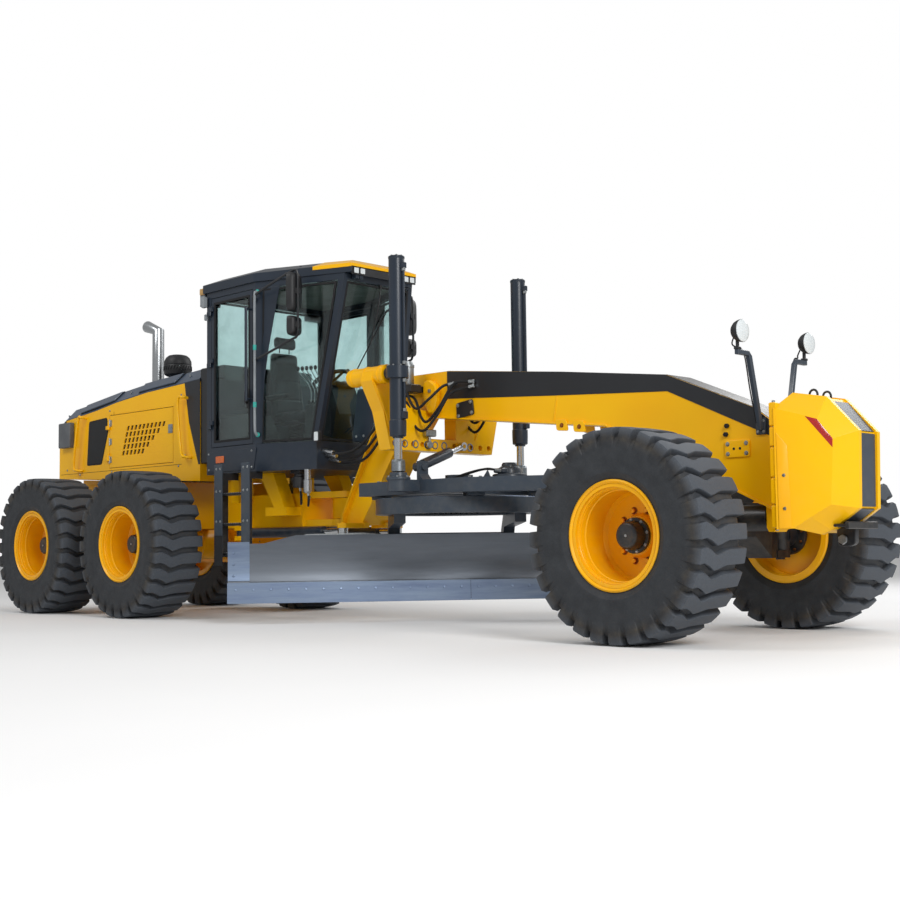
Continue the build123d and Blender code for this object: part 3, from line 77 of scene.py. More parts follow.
# %% [markdown]
# The machine is easiest to describe from its front axle: x forward, y to its left, z up from the ground.
# Two wheel joints give the place of that axle in the frame, and `at` turns a place on the machine
# into a place in the frame. The blade hangs turned under the machine, so `swung` turns a place that is
# drawn square about the circle's middle.

# %% Places on the machine
hub_right = np.array(joints["wheel_front_right_spin"]["pos_m"])
hub_left = np.array(joints["wheel_front_left_spin"]["pos_m"])
axle_middle = (hub_right + hub_left) / 2
AXLE_Z = axle_middle[2]
SHIFT = np.array([axle_middle[0], axle_middle[1], 0])
circle_middle = np.array(joints["circle_turn"]["pos_m"]) - SHIFT
blade_along = np.array(joints["blade_side_shift"]["axis"])
SIDES = {"right": -1, "left": 1}
FRONT, REAR = "front_frame", "rear_frame"       # the two halves that the articulation joins


def at(points):
    """Places measured from the front axle, moved into the frame."""
    return np.asarray(points, float) + SHIFT


def swung(points):
    """Places drawn with the blade square across, turned about the circle's middle into the frame."""
    p = np.asarray(points, float)
    ahead = np.array([blade_along[1], -blade_along[0], 0])
    flat = p[..., :1] * ahead + p[..., 1:2] * blade_along
    flat[..., 2] = p[..., 2]
    return flat + [circle_middle[0], circle_middle[1], 0] + SHIFT


print("front axle at", axle_middle.round(3), "blade runs along", blade_along.round(3))

# %% [markdown]
# ## Shapes from arrays
# Every helper below returns a shape: its points and its faces. A shape is a grid of points that one
# formula gives, so a bolt, a hose and a tyre differ only in their formula. `join` lays shapes together
# in one mesh, because a hundred bolts are lighter as one object.

# %% Grid, join and many
def grid(points, close_u=False, close_v=False):
    """Faces between neighbours of points[u, v]; a closed direction joins its last row to its first."""
    rows = np.arange(points.shape[0] * points.shape[1]).reshape(points.shape[:2])
    if close_u:
        rows = np.vstack([rows, rows[:1]])
    if close_v:
        rows = np.hstack([rows, rows[:, :1]])
    quads = np.stack([rows[:-1, :-1], rows[1:, :-1], rows[1:, 1:], rows[:-1, 1:]], -1)
    return points.reshape(-1, 3), quads.reshape(-1, 4).tolist()


def join(*shapes):
    """Several shapes as one."""
    points, faces, start = [], [], 0
    for some_points, some_faces in shapes:
        points.append(some_points)
        faces += [[i + start for i in face] for face in some_faces]
        start += len(some_points)
    return np.vstack(points), faces


def many(shape, places):
    """One copy of a shape at each place."""
    return join(*[(shape[0] + place, shape[1]) for place in np.asarray(places, float)])


# %% Turned shapes
def angles(count, first=0.0):
    """Angles of count places equally spaced once round a circle."""
    return np.linspace(first, first + 2 * pi, count, endpoint=False)


AXES = {"x": (1, 2, 0), "y": (2, 0, 1), "z": (0, 1, 2)}
ORIGIN = (0, 0, 0)


def lathe(profile, centre, axis="z", sides=32, turn=0.0, closed=False):
    """Radius and height along a profile, carried once round an axis: (r cos t, r sin t, h)."""
    profile = np.asarray(profile, float)
    t = angles(sides) + turn
    radius, height = profile[:, 1, None], profile[:, 0, None]
    ring = np.stack([radius * np.cos(t), radius * np.sin(t), height + 0 * t], -1)
    a, b, c = AXES[axis]
    out = np.empty_like(ring)
    out[..., a], out[..., b], out[..., c] = ring[..., 0], ring[..., 1], ring[..., 2]
    return grid(out + np.asarray(centre, float), close_u=closed, close_v=True)


def rod(a, b, radius, sides=16, edge=0.003):
    """A round bar from a to b with its end edges eased."""
    a, b = np.asarray(a, float), np.asarray(b, float)
    length = np.linalg.norm(b - a)
    along = (b - a) / length
    side = np.cross(along, [0, 0, 1] if abs(along[2]) < 0.9 else [1, 0, 0])
    side /= np.linalg.norm(side)
    other = np.cross(along, side)
    edge = min(edge, radius * 0.4, length * 0.3)
    stations = [(0, 0), (0, radius - edge), (edge, radius), (length - edge, radius),
                (length, radius - edge), (length, 0)]
    t = angles(sides)[:, None]
    ring = np.cos(t) * side + np.sin(t) * other
    return grid(np.array([a + along * s + ring * r for s, r in stations]), close_v=True)


# %% Tubes along a path
def smooth_path(corners, steps=8):
    """A Catmull-Rom curve: each stretch bends so that it leaves a corner along the line of its neighbours."""
    p = np.asarray(corners, float)
    p = np.vstack([2 * p[0] - p[1], p, 2 * p[-1] - p[-2]])
    t = np.linspace(0, 1, steps, endpoint=False)[:, None, None]
    a, b, c, d = p[:-3], p[1:-2], p[2:-1], p[3:]
    curve = 0.5 * (2 * b + (c - a) * t + (2 * a - 5 * b + 4 * c - d) * t ** 2
                   + (3 * b - a - 3 * c + d) * t ** 3)
    return np.vstack([curve.transpose(1, 0, 2).reshape(-1, 3), p[-2:-1]])


def tube(path, radius, sides=10):
    """A circle carried along a path, kept square to it, and closed at both ends."""
    path = np.asarray(path, float)
    along = np.gradient(path, axis=0)
    along /= np.linalg.norm(along, axis=1)[:, None]
    reference = np.linalg.svd(along)[2][-1]
    side = np.cross(along, reference)
    side /= np.linalg.norm(side, axis=1)[:, None]
    other = np.cross(along, side)
    t = angles(sides)[None, :, None]
    rings = path[:, None] + radius * (np.cos(t) * side[:, None] + np.sin(t) * other[:, None])
    ends = np.repeat(path[[0, -1], None], sides, axis=1)
    return grid(np.concatenate([ends[:1], rings, ends[1:]]), close_v=True)


# %% Plates and blocks
def inset(outline, distance):
    """Each corner of a closed outline moved inwards along the bisector of its two edges."""
    p = np.asarray(outline, float)
    before, after = p - np.roll(p, 1, 0), np.roll(p, -1, 0) - p
    before /= np.linalg.norm(before, axis=1)[:, None]
    after /= np.linalg.norm(after, axis=1)[:, None]
    x, y = p[:, 0], p[:, 1]
    turn = 1 if np.sum(x * np.roll(y, -1) - np.roll(x, -1) * y) > 0 else -1
    n1 = turn * np.stack([-before[:, 1], before[:, 0]], -1)
    n2 = turn * np.stack([-after[:, 1], after[:, 0]], -1)
    half = n1 + n2
    return p + distance * half / np.maximum(0.3, 1 + np.sum(n1 * n2, 1))[:, None]


def capped(rings):
    """A stack of rings as a closed skin, with a face over the first ring and one over the last."""
    points, faces = grid(rings, close_v=True)
    n = rings.shape[1]
    return points, faces + [list(range(n)), list(range(len(points) - n, len(points)))]


def plate(outline, axis, low, high, edge=0.003):
    """A flat outline given a thickness along an axis, with its edges eased by a small bevel."""
    low, high = min(low, high), max(low, high)
    edge = min(edge, (high - low) * 0.45)
    full, small = np.asarray(outline, float), inset(outline, edge)
    rings = [(small, low), (full, low + edge), (full, high - edge), (small, high)]
    a, b, c = {"x": (1, 2, 0), "y": (0, 2, 1), "z": (0, 1, 2)}[axis]
    points = np.empty((4, len(full), 3))
    for row, (flat, level) in enumerate(rings):
        points[row, :, a], points[row, :, b], points[row, :, c] = flat[:, 0], flat[:, 1], level
    return capped(points)


def oblong(a0, a1, b0, b1):
    """The four corners of an upright rectangle."""
    return [(a0, b0), (a1, b0), (a1, b1), (a0, b1)]


def brick(low, high, edge=0.004):
    """A box with eased edges between two corners."""
    low, high = np.minimum(low, high), np.maximum(low, high)
    return plate(oblong(low[0], high[0], low[1], high[1]), "z", low[2], high[2],
                 min(edge, 0.45 * min(high - low)))


def rounded(outline, radius, steps=4):
    """An outline with each corner replaced by a short curve: a quadratic blend between its two edges."""
    p = np.asarray(outline, float)
    before, after = np.roll(p, 1, 0) - p, np.roll(p, -1, 0) - p
    reach = np.minimum(radius,
                       0.45 * np.minimum(np.linalg.norm(before, axis=1), np.linalg.norm(after, axis=1)))
    start = p + before / np.linalg.norm(before, axis=1)[:, None] * reach[:, None]
    end = p + after / np.linalg.norm(after, axis=1)[:, None] * reach[:, None]
    t = np.linspace(0, 1, steps)[None, :, None]
    curve = (1 - t) ** 2 * start[:, None] + 2 * t * (1 - t) * p[:, None] + t ** 2 * end[:, None]
    return curve.reshape(-1, 2)


# %% Bolts
def bolts(places, axis, radius, out=1):
    """Hexagon heads with washers at each place; out is the side of the plate that they stand on."""
    height = radius * 0.8 * out
    head = lathe([(0, 0), (0, radius), (height * 0.8, radius), (height, radius * 0.82), (height, 0)],
                 ORIGIN, axis, 6)
    washer = lathe([(0, 0), (0, radius * 1.35), (0.15 * height, radius * 1.35), (0.2 * height, radius)],
                   ORIGIN, axis, 16)
    return many(join(head, washer), places)


# %% Put a shape into the scene
def place(name, shape, material, body, sharp=35):
    """A shape, or a list of shapes, as an object that rides on a body: doubles merged, faces outwards,
    edges sharp past an angle. A body given as (first, second, start, end) is not attached: the piece stays
    where it is drawn."""
    if isinstance(shape, list):
        shape = join(*shape)
    mesh = bpy.data.meshes.new(name)
    mesh.from_pydata(np.asarray(shape[0]).tolist(), [], shape[1])
    work = bmesh.new()
    work.from_mesh(mesh)
    bmesh.ops.remove_doubles(work, verts=work.verts, dist=1e-5)
    bmesh.ops.dissolve_degenerate(work, edges=work.edges, dist=1e-6)
    bmesh.ops.recalc_face_normals(work, faces=work.faces)
    work.to_mesh(mesh)
    work.free()
    mesh.shade_smooth()
    mesh.set_sharp_from_angle(angle=radians(sharp))
    piece = bpy.data.objects.new(name, mesh)
    bpy.context.scene.collection.objects.link(piece)
    mesh.materials.append(material)
    if isinstance(body, tuple):
        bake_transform(piece)
    else:
        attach(piece, body)
    return piece


# %% [markdown]
# ## Finishes
# Each material begins with what the real surface is. Colours are written as the eye sees them, in hex,
# and one function turns them to the linear values that Blender works in. `add` puts one node into a
# material with its settings and links; everything else is wiring.

# %% Colour and nodes
def colour(code):
    """sRGB hex to linear: c / 12.92 below 0.04045, else ((c + 0.055) / 1.055) ** 2.4."""
    c = np.array([int(code[i:i + 2], 16) for i in (1, 3, 5)]) / 255
    linear = np.where(c <= 0.04045, c / 12.92, ((c + 0.055) / 1.055) ** 2.4)
    return (*linear.tolist(), 1.0)


def add(tree, kind, values=None, out=0, **settings):
    """One node, and its output out: settings are its own properties, values go to its inputs as
    numbers, hex colours or links."""
    made = tree.nodes.new("ShaderNode" + kind)
    for name, value in settings.items():
        setattr(made, name, value)
    for name, value in (values or {}).items():
        if isinstance(value, bpy.types.NodeSocket):
            tree.links.new(value, made.inputs[name])
        else:
            made.inputs[name].default_value = colour(value) if isinstance(value, str) else value
    return made.outputs[out] if len(made.outputs) else None


# %% What every finish shares
def start(name):
    """An empty material and its object coordinates."""
    material = bpy.data.materials.new(name)
    material.use_nodes = True
    tree = material.node_tree
    tree.nodes.clear()
    return material, tree, add(tree, "TexCoord", out="Object")


def patches(tree, where, scale, low, high, detail=4.0, rough=0.55):
    """Cloudy noise with patches of about 1 / scale metres, its values low to high stretched to 0 to 1."""
    cloud = add(tree, "TexNoise", {"Vector": where, "Scale": scale, "Detail": detail, "Roughness": rough})
    return add(tree, "MapRange", {0: cloud, 1: low, 2: high})


def relief(tree, height, strength, depth, edge=None):
    """The normal: hard edges rounded by edge metres, then height pressed in up to depth metres."""
    values = {"Strength": strength, "Distance": depth, "Height": height}
    if edge:
        values["Normal"] = add(tree, "Bevel", {"Radius": edge}, samples=4)
    return add(tree, "Bump", values)


def surfaced(material, values):
    """The material with its surface, whose inputs are numbers or links."""
    tree = material.node_tree
    add(tree, "OutputMaterial", {"Surface": add(tree, "BsdfPrincipled", values)})
    return material


# %% [markdown]
# **Machine enamel** is sprayed two-pack paint: glossy, with a faint orange peel, its colour a little
# uneven from panel to panel. Out on a site it holds pale dust, most on faces that look up and low down
# near the wheels. The Bevel node rounds the light on every hard edge by a few millimetres, as a real
# folded or welded edge is round.

# %% Enamel
def enamel(name, clean, deep, dusty=0.35, rough=0.28, specular=0.5):
    """Sprayed paint: clean and deep are two tones of it, dusty is how much settles."""
    material, tree, where = start(name)
    tone = patches(tree, where, 1.1, 0.3, 0.7, 3.0)
    paint = add(tree, "Mix", {0: tone, 6: clean, 7: deep}, 2, data_type="RGBA")
    facing = add(tree, "NewGeometry", out="Normal")
    up = add(tree, "MapRange", {0: add(tree, "SeparateXYZ", {0: facing}, "Z"), 1: 0.2, 2: 1.0})
    low = add(tree, "MapRange", {0: add(tree, "SeparateXYZ", {0: where}, "Z"), 1: 1.7, 2: 0.2})
    cling = add(tree, "Math", {0: up, 1: low}, operation="MAXIMUM")
    broken = patches(tree, where, 14.0, 0.42, 0.75, 8.0, 0.65)
    settled = add(tree, "Math", {0: cling, 1: broken}, operation="MULTIPLY")
    settled = add(tree, "Math", {0: settled, 1: dusty}, operation="MULTIPLY")
    # real orange peel is about 1 mm across; 4 mm shows in the render
    peel = add(tree, "TexNoise", {"Vector": where, "Scale": 250.0, "Detail": 2.0, "Roughness": 0.55})
    return surfaced(material, {
        "Base Color": add(tree, "Mix", {0: settled, 6: paint, 7: "#B9A98C"}, 2, data_type="RGBA"),
        "Roughness": add(tree, "MapRange", {0: settled, 2: 0.5, 3: rough, 4: 0.75}),
        "Specular IOR Level": specular, "Coat Weight": 0.1, "Coat Roughness": 0.12,
        "Normal": relief(tree, peel, 0.04, 0.002, 0.004)})


yellow = enamel("yellow_enamel", "#FFC200", "#FAB600", dusty=0.05, specular=0.3)
# a darker copy of the yellow enamel for the wheel dishes, the counterweight's hollow web and the tandem cases
# under the frame: painted shade
yellow_painted_shade = enamel("yellow_enamel_painted_shade", "#FBB800", "#F3AC00", dusty=0.08, rough=0.34, specular=0.3)
navy = enamel("navy_enamel", "#222D3B", "#1C2632", dusty=0.12, rough=0.33)
# a paler copy of the navy enamel for the hood's top cover and lids, which face up: painted light
navy_painted_light = enamel("navy_enamel_painted_light", "#33475F", "#2C3E54", dusty=0.1, rough=0.3)
navy_dark = enamel("black_enamel", "#17191D", "#1E2126", dusty=0.15, rough=0.4)
slate = enamel("slate_enamel", "#38424E", "#303A45", dusty=0.12, rough=0.36)
grey_paint = enamel("grey_casting_paint", "#6E757B", "#5E656B", dusty=0.5, rough=0.5)

# %% [markdown]
# **Tyre rubber** is carbon-black natural rubber, moulded against a sand-blasted steel mould: never
# black to the eye, because dust stays in its pores. Tread faces are scuffed lighter than the grooves.

# %% Rubber
def rubber(name, dark, worn, dust, grain):
    """Moulded rubber: dark in the hollows, worn where it is rubbed, dusty in patches."""
    material, tree, where = start(name)
    rubbed = patches(tree, where, 3.5, 0.35, 0.7, 6.0, 0.6)
    fine = patches(tree, where, 60.0, 0.35, 0.8, 6.0, 0.7)
    base = add(tree, "Mix", {0: rubbed, 6: dark, 7: worn}, 2, data_type="RGBA")
    settled = add(tree, "Math", {0: fine, 1: 0.45}, operation="MULTIPLY")
    blasted = add(tree, "TexNoise", {"Vector": where, "Scale": grain, "Detail": 5.0, "Roughness": 0.6})
    return surfaced(material, {
        "Base Color": add(tree, "Mix", {0: settled, 6: base, 7: dust}, 2, data_type="RGBA"),
        "Roughness": add(tree, "MapRange", {0: fine, 3: 0.62, 4: 0.9}),
        "Specular IOR Level": 0.35, "Normal": relief(tree, blasted, 0.25, 0.003, 0.006)})


tyre_rubber = rubber("tyre_rubber", "#2E2F31", "#4A4B4C", "#77736C", 90.0)
hose_rubber = rubber("hose_rubber", "#17181A", "#222326", "#3A3A3A", 220.0)
seal_rubber = rubber("seal_rubber", "#121315", "#1B1C1F", "#2E2E2E", 160.0)

# %% [markdown]
# **Metals** keep the default IOR. Hard chrome on a piston rod is ground and polished, so it is nearly
# a mirror with fine turning rings. Zinc and copper plating on fasteners is rougher. The blade's cutting
# edge is bare rolled steel, blue-grey, with long scratches from the ground it has cut.

# %% Metals
def metal(name, clean, dull, rough, scratch=0.0, streak=(1.0, 1.0, 1.0), scale=40.0):
    """Bare metal: two tones in streaks, scratch is how deep its marks are."""
    material, tree, where = start(name)
    drawn = add(tree, "Mapping", {"Vector": where, "Scale": streak})
    marks = add(tree, "TexNoise", {"Vector": drawn, "Scale": scale, "Detail": 8.0, "Roughness": 0.65})
    tone = add(tree, "MapRange", {0: marks, 1: 0.35, 2: 0.7})
    return surfaced(material, {
        "Base Color": add(tree, "Mix", {0: tone, 6: clean, 7: dull}, 2, data_type="RGBA"),
        "Roughness": add(tree, "MapRange", {0: marks, 1: 0.3, 2: 0.75, 3: rough, 4: min(1.0, rough + 0.2)}),
        "Metallic": 1.0, "Normal": relief(tree, marks, scratch, 0.001, 0.002)})


chrome = metal("hard_chrome", "#D9DCDF", "#C3C8CC", 0.08, 0.02, (1, 1, 30))
zinc = metal("zinc_plate", "#B9BDBE", "#8F9496", 0.32, 0.1)
copper = metal("copper_passivate", "#B9743C", "#7F5230", 0.4, 0.1)
brass = metal("brass_fitting", "#C9A24B", "#9C7C37", 0.3, 0.1)
stainless = metal("stainless_tube", "#C9CCCE", "#9DA2A6", 0.2, 0.05, (1, 1, 8))
steel_cap = metal("machined_steel", "#9FA6AC", "#7D848A", rough=0.3)
steel_edge = metal("cut_edge_steel", "#8C9CB2", "#7584A0", 0.34, 0.08, (0.25, 0.25, 3), 6.0)
blade_steel = metal("rolled_blade_steel", "#7A8088", "#6C727A", 0.33, 0.05, (0.25, 0.25, 2), 3.0)

# %% [markdown]
# **Glass** of the cab is tempered and tinted green-blue. It is solid glass in the CAD, a few
# millimetres thick, so it transmits light through its body; a little dust keeps it from vanishing.
# ** Moulded plastic** (mirror shells, seat shell, cleaner bowl) is ABS or polypropylene with a fine
# spark-eroded grain. **Lenses** are clear polycarbonate over a bright reflector; their faint glow is painted
# light.

# %% Glass and plastic
def tinted_glass(name, tint, rough):
    """Clear body with a tint; thin dust shows as a slightly rougher, paler bloom."""
    material, tree, where = start(name)
    film = patches(tree, where, 2.2, 0.45, 0.8, 6.0, 0.6)
    return surfaced(material, {
        "Base Color": add(tree, "Mix", {0: film, 6: tint, 7: "#B9CFCC"}, 2, data_type="RGBA"),
        "Roughness": add(tree, "MapRange", {0: film, 3: rough, 4: rough + 0.08}),
        "Transmission Weight": 1.0, "IOR": 1.45})


def plastic(name, clean, worn, grain=180.0, rough=0.45, bump=0.12):
    """Moulded plastic: even colour, fine grain, a slight sheen."""
    material, tree, where = start(name)
    rubbed = patches(tree, where, 6.0, 0.35, 0.75, 5.0, 0.6)
    sparked = add(tree, "TexNoise", {"Vector": where, "Scale": grain, "Detail": 3.0, "Roughness": 0.55})
    return surfaced(material, {
        "Base Color": add(tree, "Mix", {0: rubbed, 6: clean, 7: worn}, 2, data_type="RGBA"),
        "Roughness": add(tree, "MapRange", {0: rubbed, 3: rough, 4: rough + 0.15}),
        "Normal": relief(tree, sparked, bump, 0.001, 0.004)})


cab_glass = tinted_glass("tinted_cab_glass", "#D2E6E6", 0.02)
black_plastic = plastic("moulded_black_plastic", "#1A1B1D", "#26272A")
grey_plastic = plastic("moulded_grey_plastic", "#8E9498", "#7A8085", rough=0.5)
grey_dark = plastic("dark_grey_lamp_case", "#55585C", "#6A6D70", rough=0.55)
teal_plastic = plastic("teal_plastic", "#37B5A8", "#2E9C93", rough=0.4)
tan_plastic = plastic("tan_plastic", "#CBA468", "#B89158", rough=0.5)
cream_plastic = plastic("cab_lining_plastic", "#8B877D", "#77736A", rough=0.55)

# %% [markdown]
# ## Dress the CAD nodes
# A CAD solid whose shape is right stays as it is and only changes its material. The table names the
# finish of every node; the two-tone pieces get their second tone as thin pieces laid on them later.

# %% Materials on the nodes
FINISHES = {
    yellow: ["front_frame", "blade_saddle", "counterweight", "rear_frame", "tandem_case_right",
             "tandem_case_left", "hood", "hood_door_right", "hood_door_left", "rear_axle_housing"],
    # the rims take the darker yellow: painted shade in the wheel dishes
    yellow_painted_shade: [f"rim_{row}_{side}" for row in ("front", "middle", "rear") for side in SIDES],
    navy: ["cab_frame", "cab_door_right", "cab_door_left", "cab_roof", "lift_cylinder_right",
           "lift_cylinder_left", "shift_cylinder", "articulation_cylinder_right",
           "articulation_cylinder_left", "tail_lamps"],
    slate: ["drawbar", "circle", "blade_carrier"],
    blade_steel: ["moldboard"],
    navy_dark: ["front_axle", "steering_knuckle_right", "steering_knuckle_left", "tie_rod", "ladders",
                "front_lamps", "handrails"],
    chrome: ["lift_rod_right", "lift_rod_left", "shift_rod", "articulation_rod_right",
             "articulation_rod_left"],
    stainless: ["exhaust_stack"],
    tyre_rubber: [f"tyre_{row}_{side}" for row in ("front", "middle", "rear") for side in SIDES],
    steel_edge: ["cutting_edge", "drawbar_ball"],
    cab_glass: ["cab_glass", "cab_door_glass_right", "cab_door_glass_left"],
    black_plastic: ["operator_seat", "steering_console", "mirrors", "air_precleaner"],
    grey_paint: ["engine_block", "circle_drive"],
}
dressed = set()
for finish, names in FINISHES.items():
    for name in names:
        node = frame["nodes"][name]
        if not node.material_slots:
            node.data.materials.append(finish)
        for held in node.material_slots:
            held.material = finish
        dressed.add(name)
print("nodes without a finish:", sorted(set(frame["nodes"]) - dressed))

# %% [markdown]
# ## Tyres
# The grader tyre has 28 lugs. Each runs from one shoulder to the middle, swings forward and back once, and
# ends in a block that reaches down the sidewall. The surface is one grid: the columns follow the lug's
# wavy line round the wheel, the rows follow the cross-section from bead to bead. Between two columns the
# rubber rises from the groove to the lug, so every lug edge is a real edge.

# %% A tyre as one grid
LUGS = 28
# cross-section rows: across the wheel, radius in the groove, then the same on the lug, metres
SECTION = [
    (0.2245, 0.319, 0.2245, 0.319), (0.2245, 0.370, 0.2245, 0.370), (0.236, 0.384, 0.236, 0.384),
    (0.247, 0.408, 0.247, 0.408), (0.252, 0.414, 0.252, 0.414), (0.2545, 0.426, 0.2545, 0.426),
    (0.2515, 0.438, 0.2515, 0.438), (0.256, 0.470, 0.256, 0.470), (0.260, 0.510, 0.260, 0.510),
    (0.2605, 0.545, 0.2605, 0.545), (0.2585, 0.574, 0.2585, 0.574), (0.2575, 0.580, 0.262, 0.582),
    (0.2530, 0.612, 0.262, 0.614), (0.2440, 0.638, 0.2615, 0.660), (0.2300, 0.655, 0.2590, 0.690),
    (0.2100, 0.664, 0.2500, 0.706), (0.180, 0.668, 0.205, 0.712), (0.135, 0.671, 0.150, 0.7145),
    (0.085, 0.673, 0.090, 0.7158), (0.040, 0.674, 0.042, 0.716), (0.0, 0.674, 0.0, 0.716),
]
# how far a lug runs ahead of its middle line, in pitches, at places across the wheel
LEAD = [(-0.262, -0.12), (-0.13, -0.10), (-0.03, -0.08), (0.03, 0.04), (0.08, 0.16), (0.12, 0.06),
        (0.16, -0.10), (0.20, -0.18), (0.262, -0.10)]
# one pitch of columns: share of the pitch, and how far the surface has risen from groove to lug
COLUMNS = [(-0.365, 0.0), (-0.325, 0.90), (-0.30, 1.0), (0.0, 1.0), (0.30, 1.0), (0.325, 0.90),
           (0.365, 0.0), (0.5, 0.0)]


def tyre(centre, top, out):
    """Angle (k + u + lead(y)) * pitch, radius and width blended from groove to lug by the column's rise."""
    rows = np.array([(-y, r, -ly, lr) for y, r, ly, lr in SECTION] + SECTION[-2::-1])
    lead = np.interp(rows[:, 2], *zip(*LEAD))
    share = np.array([k + u for k in range(LUGS) for u, _ in COLUMNS])
    rise = np.tile([h for _, h in COLUMNS], LUGS)
    angle = (share[None] + lead[:, None]) * 2 * pi / LUGS
    scale = np.where(rows[:, 3] > 0.6, top / 0.716, 1.0)[:, None]
    radius = (rows[:, 1, None] * (1 - rise) + rows[:, 3, None] * rise) * scale
    across = rows[:, 0, None] * (1 - rise) + rows[:, 2, None] * rise
    points = np.stack([radius * np.sin(angle), -out * across, radius * np.cos(angle)], -1)
    return grid(points + centre, close_u=True, close_v=True)


def marked(piece, centre, low, high):
    """Writes into the mesh how near each point is to the top of a lug, for the dust in the grooves."""
    mesh = piece.data
    points = np.empty(len(mesh.vertices) * 3)
    mesh.vertices.foreach_get("co", points)
    far = np.hypot(points[0::3] - centre[0], points[2::3] - centre[2])
    mark = mesh.attributes.new("lug", "FLOAT", "POINT")
    mark.data.foreach_set("value", np.clip((far - low) / (high - low), 0, 1))


def tread_rubber():
    """Rubber whose lug tops are scuffed blue-grey and whose grooves hold brown dust."""
    material, tree, where = start("tread_rubber")
    height = add(tree, "Attribute", out="Fac", attribute_name="lug")
    cloud = add(tree, "TexNoise", {"Vector": where, "Scale": 9.0, "Detail": 7.0, "Roughness": 0.65})
    fine = patches(tree, where, 85.0, 0.35, 0.75, 6.0, 0.7)
    scuff = add(tree, "Mix", {0: fine, 6: "#3F444B", 7: "#545A62"}, 2, data_type="RGBA")
    settled = add(tree, "MapRange", {0: cloud, 1: 0.42, 2: 0.72})
    deep = add(tree, "Mix", {0: settled, 6: "#26272A", 7: "#48433B"}, 2, data_type="RGBA")
    rubbed = add(tree, "MapRange", {0: cloud, 1: 0.35, 2: 0.7})
    wall = add(tree, "Mix", {0: rubbed, 6: "#26292D", 7: "#33363A"}, 2, data_type="RGBA")
    side = add(tree, "MapRange", {0: height, 2: 0.25})
    body = add(tree, "Mix", {0: side, 6: wall, 7: deep}, 2, data_type="RGBA")
    top = add(tree, "MapRange", {0: height, 1: 0.35, 2: 0.92})
    grain = add(tree, "TexNoise", {"Vector": where, "Scale": 140.0, "Detail": 5.0, "Roughness": 0.6})
    return surfaced(material, {
        "Base Color": add(tree, "Mix", {0: top, 6: body, 7: scuff}, 2, data_type="RGBA"),
        "Roughness": add(tree, "MapRange", {0: fine, 3: 0.55, 4: 0.8}),
        "Specular IOR Level": 0.4, "Normal": relief(tree, grain, 0.18, 0.002, 0.005)})


tread = tread_rubber()
WHEELS = [(row, side) for row in ("front", "middle", "rear") for side in SIDES]
wheel_middle = {}
for row, side in WHEELS:
    low, high = np.array(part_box(f"tyre_{row}_{side}"))
    centre = (low + high) / 2
    centre[2] = AXLE_Z
    wheel_middle[row, side] = centre
    piece = place(f"detailed_tyre_{row}_{side}", tyre(centre, AXLE_Z, -SIDES[side]), tread,
                  f"wheel_{row}_{side}", sharp=28)
    marked(piece, centre, 0.60, 0.716)
    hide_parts(f"tyre_{row}_{side}")
print("tyre faces", len(piece.data.polygons))

# %% [markdown]
# Each wheel is a deep dish: the disc sits far inboard and the hub cap reaches out of it. The cap is
# black, held by eight small bolts; ten copper-coloured nuts hold the disc. A brass valve stem leans out
# of the disc, and a spring ring holds the rim's loose flange.

# %% Hub caps, nuts and valves
def outward(centre, side, points):
    """Places given as (x, distance outwards, z) from a wheel's middle."""
    p = np.asarray(points, float)
    return centre + p * [1, SIDES[side], 1]


for row, side in WHEELS:
    c, s = wheel_middle[row, side], SIDES[side]
    body = f"wheel_{row}_{side}"
    profile = [(-0.0195, 0.0), (-0.0195, 0.1195), (0.0035, 0.1195), (0.0055, 0.1175), (0.0055, 0.0985),
               (0.012, 0.0975), (0.079, 0.0895), (0.089, 0.082), (0.0925, 0.074), (0.0935, 0.060),
               (0.0925, 0.056), (0.0925, 0.0)]
    cap = lathe([(s * o, r) for o, r in profile], c, "y", 48)
    place(f"hub_cap_{row}_{side}", cap, navy_dark, body)
    ring = [(0.108 * cos(a), 0.0055, 0.108 * sin(a)) for a in np.arange(8) * pi / 4 + 0.2]
    plug = lathe([(s * 0.092, 0), (s * 0.092, 0.011), (s * 0.0975, 0.010), (s * 0.098, 0.0)], c, "y", 6)
    place(f"hub_cap_bolts_{row}_{side}", join(bolts(outward(c, side, ring), "y", 0.0085, s), plug), zinc,
          body)
    ring = [(0.175 * cos(a), -0.0795, 0.175 * sin(a)) for a in np.arange(10) * pi / 5]
    place(f"disc_nuts_{row}_{side}", bolts(outward(c, side, ring), "y", 0.0195, s), copper, body)
    a = radians(65)
    stem = outward(c, side, [(r * cos(a), o, r * sin(a)) for r, o in ((0.262, -0.086), (0.262, -0.05),
                                                                      (0.250, -0.01))])
    valve = [tube(smooth_path(stem, 5), 0.0045, 8), rod(stem[-1], stem[-1] + [0, s * 0.02, 0], 0.007, 8)]
    place(f"valve_{row}_{side}", valve, brass, body)
    # the ring and the pressed step take the darker yellow too: painted shade in the dish
    t = np.linspace(radians(20), radians(350), 60)
    lock = outward(c, side, np.stack([0.3125 * np.cos(t), 0 * t + 0.196, 0.3125 * np.sin(t)], -1))
    place(f"rim_ring_{row}_{side}", tube(lock, 0.006, 6), yellow_painted_shade, body)
    # a pressed step round the dish, halfway to the disc
    step = [(0.118, 0.3035), (0.122, 0.298), (0.130, 0.296), (0.138, 0.298), (0.142, 0.3035)]
    place(f"rim_bead_{row}_{side}", lathe([(s * o, r) for o, r in step], c, "y", 64), yellow_painted_shade, body)
print("wheels dressed", len(WHEELS))

# %% [markdown]
# ## The front frame
# The bent beam is a welded box. Its sides carry a black band that follows the top edge, its top is black
# as well, and flange strips stand a little proud of the plates. A bent strip is one outline of points in
# the side view and the same outline pushed along its normals.

